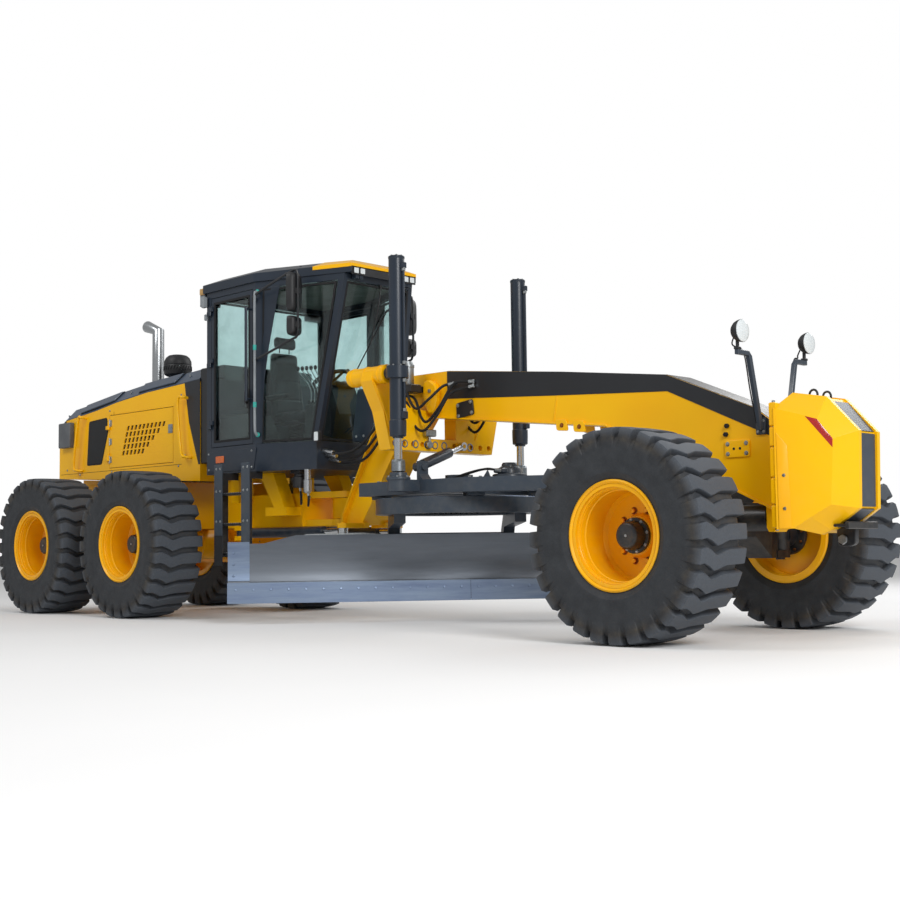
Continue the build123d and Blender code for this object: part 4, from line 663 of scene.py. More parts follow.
# %% Strips and hoses
def strip(line, low, high, thick):
    """A bent plate: the line (x, z) offset by thick along its normals, spread from low to high across."""
    p = np.asarray(line, float)
    t = np.gradient(p, axis=0)
    t /= np.linalg.norm(t, axis=1)[:, None]
    out = p + thick * np.stack([-t[:, 1], t[:, 0]], -1)
    return plate(np.vstack([p, out[::-1]]), "y", low, high, 0.0015)


def both(make):
    """A shape built for the right side and again for the left."""
    return join(make(-1), make(1))


def side_plates(outline, low, high, edge):
    """The same plate on both sides of the machine, from low to high out from its middle."""
    return both(lambda s: plate(outline, "y", s * low, s * high, edge))


def side_bolts(spots, y, radius):
    """The same bolts on both sides of the machine, at places (x, z)."""
    return both(lambda s: bolts([(x, s * y, z) for x, z in spots], "y", radius, s))


def mid_shift(shape):
    """A shape, or a list of shapes, written in machine places and moved into the frame."""
    points, faces = join(*shape) if isinstance(shape, list) else shape
    return points + SHIFT, faces


def lay(name, shape, material, body, sharp=35):
    """A shape written in machine places, put on a body."""
    return place(name, mid_shift(shape), material, body, sharp)


def line_hose(corners, radius):
    """A hose on a smooth path, and the crimped steel ferrule and nut at each of its ends."""
    path = smooth_path(at(corners), 8)
    parts = []
    for a, b in ((path[0], path[1]), (path[-1], path[-2])):
        d = (b - a) / np.linalg.norm(b - a)
        parts += [rod(a - d * 0.012, a + d * 0.030, radius * 1.28, 12, 0.002),
                  rod(a - d * 0.026, a - d * 0.010, radius * 1.5, 6, 0.001)]
    return tube(path, radius, 10), join(*parts)


def lay_hoses(name, runs, body, radius):
    """Several hoses of one size on one body: the covers in one object, the fittings in another."""
    covers, fittings = zip(*[line_hose(run, radius) for run in runs])
    place(name, list(covers), hose_rubber, body)
    place(name + "_fittings", list(fittings), zinc, body)


# %% Beam
BEAM_SIDE, LEG_SIDE = 0.1605, 0.2095            # just outside the plates of the beam and the leg
WELD_STEP = 0.006                               # ripples of a weld bead are about 6 mm apart
TOP_LINE = [(-3.238, 2.150), (-2.610, 2.150), (-1.365, 2.018), (-0.350, 1.894), (0.380, 1.594),
            (0.500, 1.500)]
BAND = [(-2.62, 2.149), (-1.365, 2.018), (-0.350, 1.894), (0.380, 1.594), (0.499, 1.500), (0.496, 1.392),
        (-0.345, 1.772), (-1.37, 1.832), (-2.62, 1.912)]
lay("beam_band", side_plates(BAND, BEAM_SIDE, 0.1635, 0.001), navy_dark, FRONT)
lay("beam_top", strip(TOP_LINE, -0.150, 0.150, 0.003), navy_dark, FRONT)
lower = [(-3.03, 1.788), (-2.24, 1.700), (-1.44, 1.611), (-0.93, 1.559), (0.497, 0.886)]
lay("beam_flange", both(lambda s: strip(lower, s * BEAM_SIDE, s * 0.172, 0.014)), yellow, FRONT)
leg = [(-3.955, 0.935), (-3.565, 1.600), (-3.240, 2.105)]
lay("leg_flange", both(lambda s: strip(leg, s * 0.2005, s * 0.2085, 0.018)), yellow, FRONT)
beads = []
for s in (-1, 1):
    for a, b in (((-1.44, 1.615), (-1.40, 1.832)), ((-3.05, 1.795), (-3.24, 2.18))):
        a, b = np.array([a[0], s * 0.1612, a[1]]), np.array([b[0], s * 0.1612, b[1]])
        t = np.linspace(0, 1, int(np.linalg.norm(a - b) / WELD_STEP))[:, None]
        beads.append(tube(at(a * (1 - t) + b * t), 0.0045, 6))
place("beam_welds", beads, yellow, FRONT)
TAB = np.array([(-0.055, 0.045), (0.055, 0.035), (0.07, -0.055), (-0.045, -0.045)])
tabs = [plate(rounded(TAB + spot, 0.02), "y", s * BEAM_SIDE, s * 0.175, 0.002)
        for s in (-1, 1) for spot in ((-1.355, 1.60), (-1.18, 1.578))]
lay("beam_tabs", tabs, yellow, FRONT)
lay("beam_tab_bolts", side_bolts([(-1.345, 1.593), (-1.17, 1.57)], 0.175, 0.014), copper, FRONT)

# the pivot of the lift linkage is closed by a bolted plate, with a boss behind it
plates = side_plates(rounded([(-2.50, 1.730), (-2.30, 1.755), (-2.315, 1.885), (-2.505, 1.862)], 0.02),
                     BEAM_SIDE, 0.176, 0.003)
lay("link_plates", plates, navy_dark, FRONT)
spots = [(-2.478, 1.752), (-2.322, 1.772), (-2.335, 1.862), (-2.483, 1.842)]
lay("link_plate_bolts", side_bolts(spots, 0.176, 0.013), zinc, FRONT)
drop = [(-2.865, 2.075), (-2.80, 2.095), (-2.715, 2.04), (-2.70, 1.93), (-2.735, 1.80), (-2.80, 1.79),
        (-2.845, 1.86), (-2.87, 1.97)]
lay("guide_bosses", side_plates(rounded(drop, 0.03), BEAM_SIDE, 0.215, 0.010), yellow, FRONT)
pins = both(lambda s: rod((-2.78, s * 0.21, 1.99), (-2.78, s * 0.228, 1.99), 0.018, 6, 0.003))
lay("guide_boss_pins", pins, zinc, FRONT)
# ports and a bolted plate at the beam's lower nose
ports = join(*[rod(at((x, s * 0.158, z)), at((x, s * 0.182, z)), 0.018, 6, 0.003)
               for s in (-1, 1) for x, z in ((0.16, 1.48), (0.15, 1.42))])
place("nose_ports", ports, seal_rubber, FRONT)
nose = side_plates(rounded(oblong(0.14, 0.34, 1.255, 1.375), 0.015), BEAM_SIDE, 0.172, 0.002)
lay("nose_plates", nose, yellow, FRONT)
corners = [(x, z) for x in (0.165, 0.315) for z in (1.28, 1.35)]
lay("nose_bolts", side_bolts(corners, 0.172, 0.012), zinc, FRONT)
# dark discs on the plate stand for its open holes: painted shade
holes = [rod((x, s * 0.170, 1.315), (x, s * 0.1735, 1.315), 0.010, 16, 0.001) for s in (-1, 1)
         for x in (0.215, 0.265)]
lay("nose_plate_hole_shade", holes, seal_rubber, FRONT)
# dark side plates on the leg below the cab
wedge = [(-3.80, 1.62), (-3.72, 2.09), (-3.58, 2.085), (-3.49, 2.02), (-3.44, 1.88), (-3.60, 1.60)]
lay("leg_side_plates", side_plates(rounded(wedge, 0.03), LEG_SIDE, 0.216, 0.002), navy, FRONT)
lay("leg_plate_bolts", side_bolts([(-3.74, 1.66), (-3.64, 1.66), (-3.50, 1.93)], 0.216, 0.010), zinc, FRONT)
print("beam dressed")

# %% [markdown]
# Hoses leave the leg on both sides, loop beside the saddle and end at the beam. A hose is a circle carried
# along a smooth path, with a crimped ferrule and a nut at each end.

# %% Hoses on the beam
runs = [[(-3.40, -0.185, 1.93), (-3.10, -0.215, 1.97), (-2.91, -0.27, 1.93), (-2.80, -0.30, 1.76),
         (-2.72, -0.30, 1.72), (-2.58, -0.29, 1.84), (-2.45, -0.25, 2.02), (-2.30, -0.19, 2.03)],
        [(-3.40, -0.185, 1.89), (-3.12, -0.225, 1.93), (-2.95, -0.30, 1.86), (-2.86, -0.33, 1.70),
         (-2.74, -0.33, 1.64), (-2.60, -0.31, 1.76), (-2.48, -0.26, 1.94), (-2.30, -0.19, 1.99)],
        [(-2.97, -0.30, 2.06), (-2.90, -0.36, 1.95), (-2.80, -0.36, 1.83), (-2.68, -0.33, 1.90),
         (-2.60, -0.24, 2.01), (-2.54, -0.19, 2.03)]]
lay_hoses("beam_hoses", runs, FRONT, 0.012)
runs = [[(-3.36, 0.185, 1.93), (-3.10, 0.23, 1.95), (-2.90, 0.29, 1.88), (-2.74, 0.30, 1.74),
         (-2.56, 0.28, 1.86), (-2.34, 0.19, 2.01)],
        [(-3.36, 0.185, 1.89), (-3.12, 0.24, 1.90), (-2.94, 0.32, 1.80), (-2.76, 0.32, 1.66),
         (-2.58, 0.29, 1.79), (-2.34, 0.19, 1.97)]]
lay_hoses("beam_hoses_left", runs, FRONT, 0.012)
canister = lathe([(2.05, 0.0), (2.05, 0.05), (2.06, 0.056), (2.20, 0.056), (2.205, 0.06), (2.225, 0.06),
                  (2.23, 0.052), (2.255, 0.045), (2.258, 0.0)],
                 at((-2.965, -0.30, 0)), "z", 32)
place("saddle_canister", canister, zinc, FRONT)
valve = [brick((-3.07, -0.36, 1.98), (-2.86, -0.24, 2.05), 0.006),
         brick((-3.05, -0.24, 1.99), (-2.88, -0.17, 2.04), 0.004),
         brick((-3.05, 0.17, 1.99), (-2.88, 0.30, 2.05), 0.004)]
lay("saddle_valve", valve, navy_dark, FRONT)

# %% Saddle
SADDLE_FRONT, SADDLE_BACK = -2.84, -2.98
caps, cap_bolts, rings = [], [], []
for s in (-1, 1):
    c = at((-3.17, s * 0.75, 2.09))
    caps.append(lathe([(-0.012, 0), (-0.012, 0.066), (0, 0.070), (0.006, 0.070), (0.006, 0)], c, "x", 40))
    cap_bolts.append(bolts([c + [-0.012, 0.046 * cos(a), 0.046 * sin(a)]
                            for a in np.arange(4) * pi / 2 + 0.78], "x", 0.011, -1))
    for x in (-3.13, -2.98 + 0.012, -2.80, -2.745):
        rings.append(lathe([(0, 0.0745), (0.002, 0.080), (0.016, 0.080), (0.018, 0.0745)],
                           at((x, s * 0.75, 2.09)), "x", 40, closed=True))
place("yoke_caps", caps, navy_dark, FRONT)
place("yoke_cap_bolts", cap_bolts, zinc, FRONT)
place("yoke_rings", rings, yellow, FRONT)
lips = []
for y in (-0.56, -0.458, -0.332, -0.194, -0.097, 0.013, 0.338):
    for x, out in ((SADDLE_FRONT, 1), (SADDLE_BACK, -1)):
        lips.append(lathe([(0, 0.0245), (0.003 * out, 0.026), (0.003 * out, 0.034), (0, 0.036)],
                          at((x, y, 1.53)), "x", 28, closed=True))
place("lock_hole_lips", lips, steel_edge, FRONT)
ribs = []
for s, outer in ((-1, [(0.625, 1.60), (0.695, 1.80), (0.82, 2.03)]),
                 (1, [(0.415, 1.60), (0.50, 1.78), (0.82, 2.03)])):
    line = np.array([(s * y, z) for y, z in outer])
    for x in (SADDLE_FRONT, SADDLE_BACK - 0.012):
        ribs.append(plate(np.vstack([line, line[::-1] + [-s * 0.022, 0.0]]), "x", x, x + 0.012, 0.003))
lay("saddle_ribs", ribs, yellow, FRONT)
lock = join(rod(at((-2.83, -0.194, 1.53)), at((-2.80, -0.194, 1.53)), 0.032, 24),
            brick(at((-2.835, -0.25, 1.60)), at((-2.79, -0.13, 1.66)), 0.006),
            rod(at((-2.81, -0.194, 1.60)), at((-2.81, -0.194, 1.55)), 0.012, 12))
place("saddle_lock_pin", lock, zinc, FRONT)
print("saddle dressed")

# %% Lenses
def lens_plastic(name, clean, worn, painted_glow):
    """Clear coloured polycarbonate over a moulded reflector: a fine waffle under a smooth skin; its faint glow
    is painted light.
    """
    material, tree, where = start(name)
    cells = add(tree, "TexVoronoi", {"Vector": where, "Scale": 180.0}, "Distance")
    tone = add(tree, "MapRange", {0: cells, 1: 0.1, 2: 0.6})
    film = add(tree, "TexNoise", {"Vector": where, "Scale": 8.0, "Detail": 4.0, "Roughness": 0.55})
    return surfaced(material, {
        "Base Color": add(tree, "Mix", {0: tone, 6: clean, 7: worn}, 2, data_type="RGBA"),
        "Roughness": add(tree, "MapRange", {0: film, 1: 0.3, 2: 0.7, 3: 0.08, 4: 0.2}),
        "Coat Weight": 0.8, "Emission Strength": painted_glow, "Emission Color": clean,
        "Normal": relief(tree, cells, 0.3, 0.001)})


# the reflectors and unlit lamp lenses glow faintly: painted light
red_lens = lens_plastic("red_reflector", "#C8261C", "#8E1712", 0.05)
amber_lens = lens_plastic("amber_lens", "#E8741A", "#B54F10", 0.05)
clear_lens = lens_plastic("clear_lens", "#E9EDEE", "#C4CBCD", 0.12)


# %% [markdown]
# ## Counterweight
# The counterweight is a faceted iron casting in two halves with a recess between them. Its outline is
# known on two planes: on the ridge beside the recess and on the outer side. The facets between are ruled,
# so one grid of four outlines, from side to ridge to ridge to side, is the whole casting.

# %% Casting
# seven corners each, as (x, z), in the same order round the outline
RIDGE = [(0.675, 1.672), (0.925, 1.625), (1.149, 1.383), (1.136, 0.875), (0.930, 0.735), (0.860, 0.706),
         (0.675, 0.790)]
SIDE = [(0.675, 1.549), (0.9305, 1.467), (1.0193, 1.334), (0.998, 0.900), (0.878, 0.821), (0.779, 0.7475),
        (0.675, 0.742)]
GAP, TAPER = 0.108, 0.449


def side_y(x):
    """The outer side stands 0.405 m out at the hinge bar and tapers inwards towards the front."""
    return 0.405 - TAPER * (np.asarray(x) - 0.675)


def on_side(shape, side):
    """A shape whose y is its height over the outer side, laid on that side."""
    p = shape[0].copy()
    p[:, 1] = side * (side_y(p[:, 0]) + p[:, 1])
    return p, shape[1]


rings = [np.array([(x, -side_y(x), z) for x, z in SIDE])]
rings += [np.array([(x, y, z) for x, z in RIDGE]) for y in (-0.145, -GAP, GAP, 0.145)]
rings.append(np.array([(x, side_y(x), z) for x, z in SIDE]))
# the recess: between the two inner rings the front corners step back
inner = [(0.675, 1.660), (0.920, 1.615), (1.128, 1.376), (1.118, 0.880), (0.920, 0.745), (0.860, 0.716),
         (0.675, 0.790)]
floor_low = np.array([(x, -GAP, z) for x, z in inner])
floor_high = np.array([(x, GAP, z) for x, z in inner])
stack = np.array(rings[:3] + [floor_low, floor_high] + rings[3:])
back = brick((0.505, -0.158, 0.905), (0.680, 0.158, 1.475), 0.004)
casting = lay("counterweight_casting", join(capped(stack), back), yellow, FRONT, sharp=10)
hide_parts("counterweight")
strip_pieces = join(strip([(0.945, 1.592), (1.126, 1.384)], -0.104, 0.104, 0.004),
                    strip([(1.130, 1.370), (1.120, 0.886)], -0.104, 0.104, 0.004),
                    strip([(1.114, 0.872), (0.945, 0.756)], -0.104, 0.104, 0.004))
lay("counterweight_strip", strip_pieces, slate, FRONT)
for name, s in SIDES.items():
    stripe = plate([(0.862, 1.487), (0.9300, 1.4655), (1.0185, 1.3330), (1.0165, 1.274)], "y", 0.0003,
                   0.0020, 0.0003)
    lay(f"reflector_{name}", on_side(stripe, s), red_lens, FRONT)
    # hinge bar behind the casting: a square bar in five lengths with dark joints between them
    lengths = [(0.752, 0.905), (0.911, 1.085), (1.091, 1.290), (1.296, 1.425), (1.431, 1.590)]
    bars = [brick((0.640, s * 0.352, z0), (0.690, s * 0.400, z1), 0.007) for z0, z1 in lengths]
    lay(f"hinge_bar_{name}", bars, yellow, FRONT)
    place(f"hinge_pin_{name}", rod(at((0.664, s * 0.377, 0.735)), at((0.664, s * 0.377, 1.604)), 0.012, 16),
          zinc, FRONT)
    # the web between the hinge bar and the side, with a tapered hollow and two bolts; its darker yellow is
    # painted shade in the hollow
    hollow = plate([(0.690, 1.385), (0.752, 1.300), (0.765, 0.900), (0.766, 0.752), (0.692, 0.747)], "y",
                   0.0005, 0.0045, 0.0015)
    lay(f"counterweight_web_{name}", on_side(hollow, s), yellow_painted_shade, FRONT)
    place(f"web_bolts_{name}", bolts([at((0.728, s * 0.384, z)) for z in (1.10, 0.88)], "y", 0.010, s),
          zinc, FRONT)
# the tow lug is drawn black, not yellow: painted shade under the casting
tow = plate(rounded([(0.900, 0.745), (1.040, 0.775), (1.036, 0.642), (0.995, 0.626), (0.925, 0.626),
                     (0.902, 0.650)], 0.02), "y", -0.024, 0.024, 0.005)
lay("tow_lug_painted_shade", tow, navy_dark, FRONT)
shackle = join(rod(at((0.96, -0.052, 0.672)), at((0.96, 0.052, 0.672)), 0.0215, 20),
               lathe([(-0.062, 0), (-0.062, 0.033), (-0.050, 0.035), (-0.046, 0.02)], at((0.96, 0, 0.672)),
                     "y", 6))
place("tow_pin", shackle, zinc, FRONT)
step = join(brick((0.965, -0.180, 0.755), (1.075, 0.180, 0.775), 0.005),
            brick((1.060, -0.200, 0.740), (1.085, 0.200, 0.790), 0.006))
lay("front_step", step, navy_dark, FRONT)
eye_places = [tube(at([(0.80 + 0.03 * cos(a), y, 1.650 + 0.034 * sin(a))
                       for a in np.linspace(-0.5, pi + 0.5, 15)]), 0.008, 8) for y in (-0.09, 0.09)]
place("counterweight_eyes", eye_places, navy_dark, FRONT)

# %% Front lamps on square arms
arms, lens_parts, rim_parts, cable_parts = [], [], [], []
for s in (-1, 1):
    line = np.array([(0.182, 1.430), (0.185, 1.475), (0.298, 1.930), (0.318, 1.950), (0.452, 1.950)])
    line[:, 0] *= s
    t = np.gradient(line, axis=0)
    t /= np.linalg.norm(t, axis=1)[:, None]
    side_way = 0.017 * np.stack([-t[:, 1], t[:, 0]], -1)
    arms.append(plate(np.vstack([line + side_way, (line - side_way)[::-1]]), "x", 0.420, 0.454, 0.004))
    arms.append(brick((0.400, s * BEAM_SIDE, 1.400), (0.474, s * 0.176, 1.515), 0.004))
    c = at((0.405, s * 0.438, 2.090))
    bowl = lathe([(0, 0), (0, 0.030), (0.010, 0.048), (0.030, 0.066), (0.050, 0.0745), (0.066, 0.078),
                  (0.0745, 0.078), (0.0745, 0.0)], c, "x", 40)
    yoke = join(brick(at((0.420, s * 0.438 - 0.020, 1.966)), at((0.454, s * 0.438 + 0.020, 1.984)), 0.003),
                rod(at((0.437, s * 0.438, 1.965)), at((0.437, s * 0.438, 2.030)), 0.012, 12))
    rim_parts += [bowl, yoke]
    lens_parts.append(lathe([(0.0745, 0.0765), (0.079, 0.0755), (0.0845, 0.068), (0.089, 0.050),
                             (0.0915, 0.025), (0.092, 0.0), (0.070, 0.0), (0.070, 0.0765)], c, "x", 40))
    cable = [(0.412, 0.438, 2.06), (0.390, 0.43, 2.01), (0.405, 0.40, 1.985), (0.415, 0.325, 1.950),
             (0.416, 0.262, 1.70), (0.415, 0.192, 1.48)]
    cable_parts.append(tube(smooth_path(at([(x, s * y, z) for x, y, z in cable]), 8), 0.0055, 6))
arm_piece = lay("front_lamp_arms", arms, slate, FRONT)
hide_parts("front_lamps")
place("front_lamp_bowls", rim_parts, black_plastic, FRONT)
place("front_lamp_lenses", lens_parts, clear_lens, FRONT)
place("front_lamp_cables", cable_parts, hose_rubber, FRONT)
foot_bolts = side_bolts([(x, z) for x in (0.415, 0.459) for z in (1.42, 1.495)], 0.176, 0.008)
lay("front_lamp_bolts", foot_bolts, zinc, FRONT)
print("front end dressed")

# %% [markdown]
# ## The cab
# The cab is a welded post frame with tinted panes in black rubber seals. The right door hangs on the rear
# post; a wide panel covers the middle post. A pane's seal is a frame with a constant width: its
# outline and the same outline moved inwards.

# %% Frames round openings
def ring_plate(corners, width, low, high, out):
    """A flat frame round a convex outline in space: the outline and the same moved inwards by width,
    both pushed out from a low to a high level."""
    p = np.asarray(corners, float)
    out = np.asarray(out, float)
    a = p[1] - p[0]
    a /= np.linalg.norm(a)
    b = np.cross(out, a)
    flat = np.stack([(p - p[0]) @ a, (p - p[0]) @ b], -1)
    small = inset(flat, width)
    rings = []
    for shape, height in ((flat, low), (flat, high - 0.001), (inset(flat, 0.001), high),
                          (inset(flat, width - 0.001), high), (small, high - 0.001), (small, low)):
        rings.append(p[0] + shape[:, :1] * a + shape[:, 1:2] * b + out * height)
    return grid(np.array(rings), close_u=True, close_v=True)


# the cab's rear, its middle (b) and front (a) posts, and its half widths there
CAB = {"rear_x": -5.310, "b_x": -4.540, "a_x": -3.930, "a_top_x": -3.650,
       "y": 0.750, "a_y": 0.525, "a_top_y": 0.420, "sill": 1.600, "glass_top": 3.130}
Z0, Z1 = CAB["sill"] + 0.020, CAB["glass_top"] - 0.060
CAB_SIDE, STILE = 0.7505, 0.041                 # just outside the door, and the width of its frame
DOOR = (CAB["rear_x"] + 0.076, CAB["b_x"] - STILE, Z0 + 0.006, Z1 - 0.006)
for name, s in SIDES.items():
    x0, x1, z0, z1 = DOOR
    pane = oblong(x0 + STILE, x1 - STILE, z0 + STILE, z1 - STILE)
    seal = ring_plate(at([(x, s * CAB_SIDE, z) for x, z in pane]), 0.022, -0.010, 0.003, (0, s, 0))
    place(f"door_seal_{name}", seal, seal_rubber, f"cab_door_{name}")
    run = np.array([CAB["a_x"] - CAB["b_x"], -s * (CAB["y"] - CAB["a_y"]), 0])
    top = np.array([CAB["a_top_x"] - CAB["b_x"], -s * (CAB["y"] - CAB["a_top_y"]), 0])
    base = np.array([CAB["b_x"], s * CAB["y"], 0])

    def side_spot(t, z):
        """A place on the slanted side: a share t of the way to the front post, at a height."""
        k = (z - CAB["sill"]) / (CAB["glass_top"] - CAB["sill"])
        return base + (run * (1 - k) + top * k) * t + [0, 0, z]

    quad = at([side_spot(0.10, Z0 + 0.012), side_spot(0.930, Z0 + 0.012), side_spot(0.930, Z1 - 0.012),
               side_spot(0.09, Z1 - 0.012)])
    out = np.cross(quad[1] - quad[0], quad[3] - quad[0])
    out *= s * np.sign(out[1]) / np.linalg.norm(out)
    place(f"side_seal_{name}", ring_plate(quad, 0.020, -0.010, 0.003, out), seal_rubber, REAR)
    # the middle post's cover, bowed inwards along its front edge, with the tube handle's teal ends
    bow = [(-4.47, Z0), (-4.462, 1.95), (-4.445, 2.20), (-4.40, 2.50), (-4.345, 2.78), (-4.285, 3.07),
           (-4.555, 3.07), (-4.565, Z0)]
    cover = plate(rounded(bow, 0.012), "y", 0.0, 0.004, 0.001)
    slope = -s * (CAB["y"] - CAB["a_y"]) / (CAB["a_x"] - CAB["b_x"])
    p = cover[0].copy()
    ahead = np.clip(p[:, 0] - CAB["b_x"], 0, None)
    p[:, 1] = s * (CAB["y"] + 0.0005 + p[:, 1]) + slope * ahead
    lay(f"middle_post_cover_{name}", (p, cover[1]), navy, REAR)
    grab_line = [(-4.490, 0.752, 3.03), (-4.484, 0.785, 3.02), (-4.482, 0.80, 2.95), (-4.482, 0.80, 2.35),
                 (-4.482, 0.80, 1.80), (-4.484, 0.785, 1.71), (-4.490, 0.752, 1.70)]
    grab = tube(smooth_path(at([(x, s * y, z) for x, y, z in grab_line]), 8), 0.0125, 12)
    place(f"grab_rail_{name}", grab, grey_plastic, REAR)
    ends = join(*[rod(at((-4.49, s * 0.7515, z)), at((-4.487, s * 0.772, z)), 0.021, 16)
                  for z in (1.70, 3.03)],
                *[rod(at((-4.482, s * 0.80, z)), at((-4.482, s * 0.80, z + 0.05)), 0.0165, 16)
                  for z in (2.48, 1.95)])
    place(f"grab_rail_ends_{name}", ends, teal_plastic, REAR)
    # a lever latch and a lock on the door
    latch = join(brick(at((-4.665, s * CAB_SIDE, 1.96)), at((-4.625, s * 0.762, 2.14)), 0.004),
                 brick(at((-4.655, s * 0.762, 2.0)), at((-4.635, s * 0.785, 2.02)), 0.003),
                 brick(at((-4.657, s * 0.782, 2.0)), at((-4.633, s * 0.790, 2.12)), 0.003))
    place(f"door_latch_{name}", latch, black_plastic, f"cab_door_{name}")
    # the sill panel below the door with its orange reflector
    sill = plate(rounded([(-5.300, 1.385), (-4.560, 1.385), (-4.520, 1.585), (-5.300, 1.585)], 0.015), "y",
                 s * CAB_SIDE, s * 0.757, 0.002)
    lay(f"sill_panel_{name}", sill, navy, REAR)
    shape = plate(rounded(oblong(-5.150, -5.020, 1.470, 1.535), 0.008), "y", s * 0.757, s * 0.763, 0.002)
    lay(f"side_reflector_{name}", shape, amber_lens, REAR)
    place(f"sill_bolts_{name}", bolts([at((x, s * 0.757, z)) for x in (-5.27, -4.59) for z in (1.41, 1.56)],
                                      "y", 0.008, s), zinc, REAR)
    gutter = strip([(CAB["rear_x"] - 0.03, CAB["glass_top"] + 0.006),
                    (CAB["b_x"] - 0.005, CAB["glass_top"] + 0.006)], s * 0.752, s * 0.768, 0.010)
    lay(f"gutter_{name}", gutter, black_plastic, REAR)
rear = at([(CAB["rear_x"] - 0.0005, y, z) for y, z in oblong(-0.655, 0.655, 2.305, Z1 - 0.005)])
place("rear_seal", ring_plate(rear, 0.022, -0.012, 0.003, (-1, 0, 0)), seal_rubber, REAR)


def screen(share_y, z, lift=0.0):
    """A place on the windscreen: a share of its half width, at a height, lifted off the glass."""
    k = (z - CAB["sill"]) / (CAB["glass_top"] - CAB["sill"])
    x = CAB["a_x"] + (CAB["a_top_x"] - CAB["a_x"]) * k
    y = (CAB["a_y"] + (CAB["a_top_y"] - CAB["a_y"]) * k) * share_y
    lean = np.arctan2(CAB["a_top_x"] - CAB["a_x"], CAB["glass_top"] - CAB["sill"])
    return np.array([x + lift * cos(lean), y, z - lift * sin(lean)])


quad = at([screen(-0.915, Z0 + 0.010), screen(0.915, Z0 + 0.010), screen(0.893, Z1 - 0.010),
           screen(-0.893, Z1 - 0.010)])
lean = np.cross(quad[1] - quad[0], quad[3] - quad[0])
seal = ring_plate(quad, 0.020, -0.010, 0.003, lean / np.linalg.norm(lean))
place("windscreen_seal", seal, seal_rubber, REAR)

# %% Wipers
def wiper(low, high, pivot, knee, push):
    """A blade between two places on the glass, and its arm from the pivot over a raised knee."""
    a, b = screen(*low, 0.006), screen(*high, 0.006)
    blade = tube(at([a + (b - a) * t for t in np.linspace(0, 1, 12)]), 0.0055, 6)
    stem = tube(smooth_path(at([screen(*pivot, 0.012), screen(*knee), (a + b) / 2 + [push, 0, 0]]), 8),
                0.006, 8)
    return blade, stem


upper, upper_arm = wiper((-0.42, 2.18), (0.32, 2.86), (0.05, 3.055), (0.0, 2.85, 0.03), 0.012)
lower, lower_arm = wiper((-0.35, 1.70), (0.42, 1.98), (0.10, 1.63), (0.07, 1.75, 0.028), 0.010)
pivots = [rod(at(screen(*spot, 0.0)), at(screen(*spot, 0.02)), 0.016, 16)
          for spot in ((0.05, 3.06), (0.10, 1.625))]
place("wiper_blades", [upper, lower], seal_rubber, REAR)
place("wiper_arms", [upper_arm, pivots[0], lower_arm, pivots[1]], black_plastic, REAR)

# %% Roof trim, visor lamps and lifting eyes
visor_face = plate(rounded(oblong(-0.395, 0.395, 3.110, 3.186), 0.006), "x", -3.586, -3.5780, 0.0008)
lay("visor_face", visor_face, black_plastic, REAR)
edge_line = [(-3.95, -0.545), (-3.578, -0.402), (-3.578, 0.402), (-3.95, 0.545)]
top_line = [(-3.95, -0.400), (-3.70, -0.281), (-3.70, 0.281), (-3.95, 0.400)]
cap_rings = [[(x, y * 0.985, 3.185) for x, y in edge_line], [(x, y, 3.178) for x, y in edge_line],
             [(x, y, 3.2125) for x, y in edge_line],
             [(x, y, 3.2698) for x, y in top_line], [(x, y * 0.2, 3.2698) for x, y in top_line]]
lay("visor_cap", grid(np.array(cap_rings, float)), yellow, REAR)
lenses, bezels = [], []
for y in (-0.345, -0.270, 0.270, 0.345):
    square = oblong(y - 0.032, y + 0.032, 3.118, 3.176)
    bezels.append(plate(rounded(square, 0.010), "x", -3.5800, -3.5725, 0.002))
    lenses.append(plate(rounded(inset(square, 0.005), 0.007), "x", -3.5730, -3.5695, 0.0015))
lay("roof_lamp_bezels", bezels, black_plastic, REAR)
lay("roof_lamp_lenses", lenses, clear_lens, REAR)
panel = plate(rounded(oblong(-5.15, -4.62, -0.56, 0.56), 0.06), "z", 3.268, 3.2695, 0.0006)
lay("roof_panel", panel, navy, REAR)
corners, speakers = [], []
for s in (-1, 1):
    corners.append(plate(rounded(oblong(-5.4415, -5.352, s * 0.748, s * 0.552), 0.006), "z", 3.128, 3.196,
                         0.010))
    speakers.append(plate(rounded(oblong(-5.432, -5.360, 3.030, 3.122), 0.006), "y", s * 0.7405, s * 0.7445,
                          0.001))
lay("rear_roof_corners", corners, tan_plastic, REAR)
work = [lathe([(0, 0), (0, 0.05), (0.004, 0.056), (0.010, 0.056), (0.010, 0)],
              at((-5.440, s * 0.65, 3.105)), "x", 32) for s in (-1, 1)]
place("rear_work_lamps", work, clear_lens, REAR)
side_lamps = [brick((-5.335, s * 0.765, 2.985), (-5.285, s * 0.800, 3.095), 0.008) for s in (-1, 1)]
side_lamps += [brick((-5.300, s * 0.765, 2.86), (-5.275, s * 0.790, 2.92), 0.005) for s in (-1, 1)]
lay("side_markers", side_lamps, grey_plastic, REAR)
eyes = []
for x, y in ((-5.10, -0.66), (-5.10, 0.66), (-4.15, -0.52), (-4.15, 0.52)):
    eyes.append(tube(at([(x + 0.020 * cos(a), y, 3.228 + 0.022 * sin(a))
                         for a in np.linspace(-0.25, pi + 0.25, 13)]), 0.006, 8))
place("roof_lifting_eyes", eyes, navy_dark, REAR)

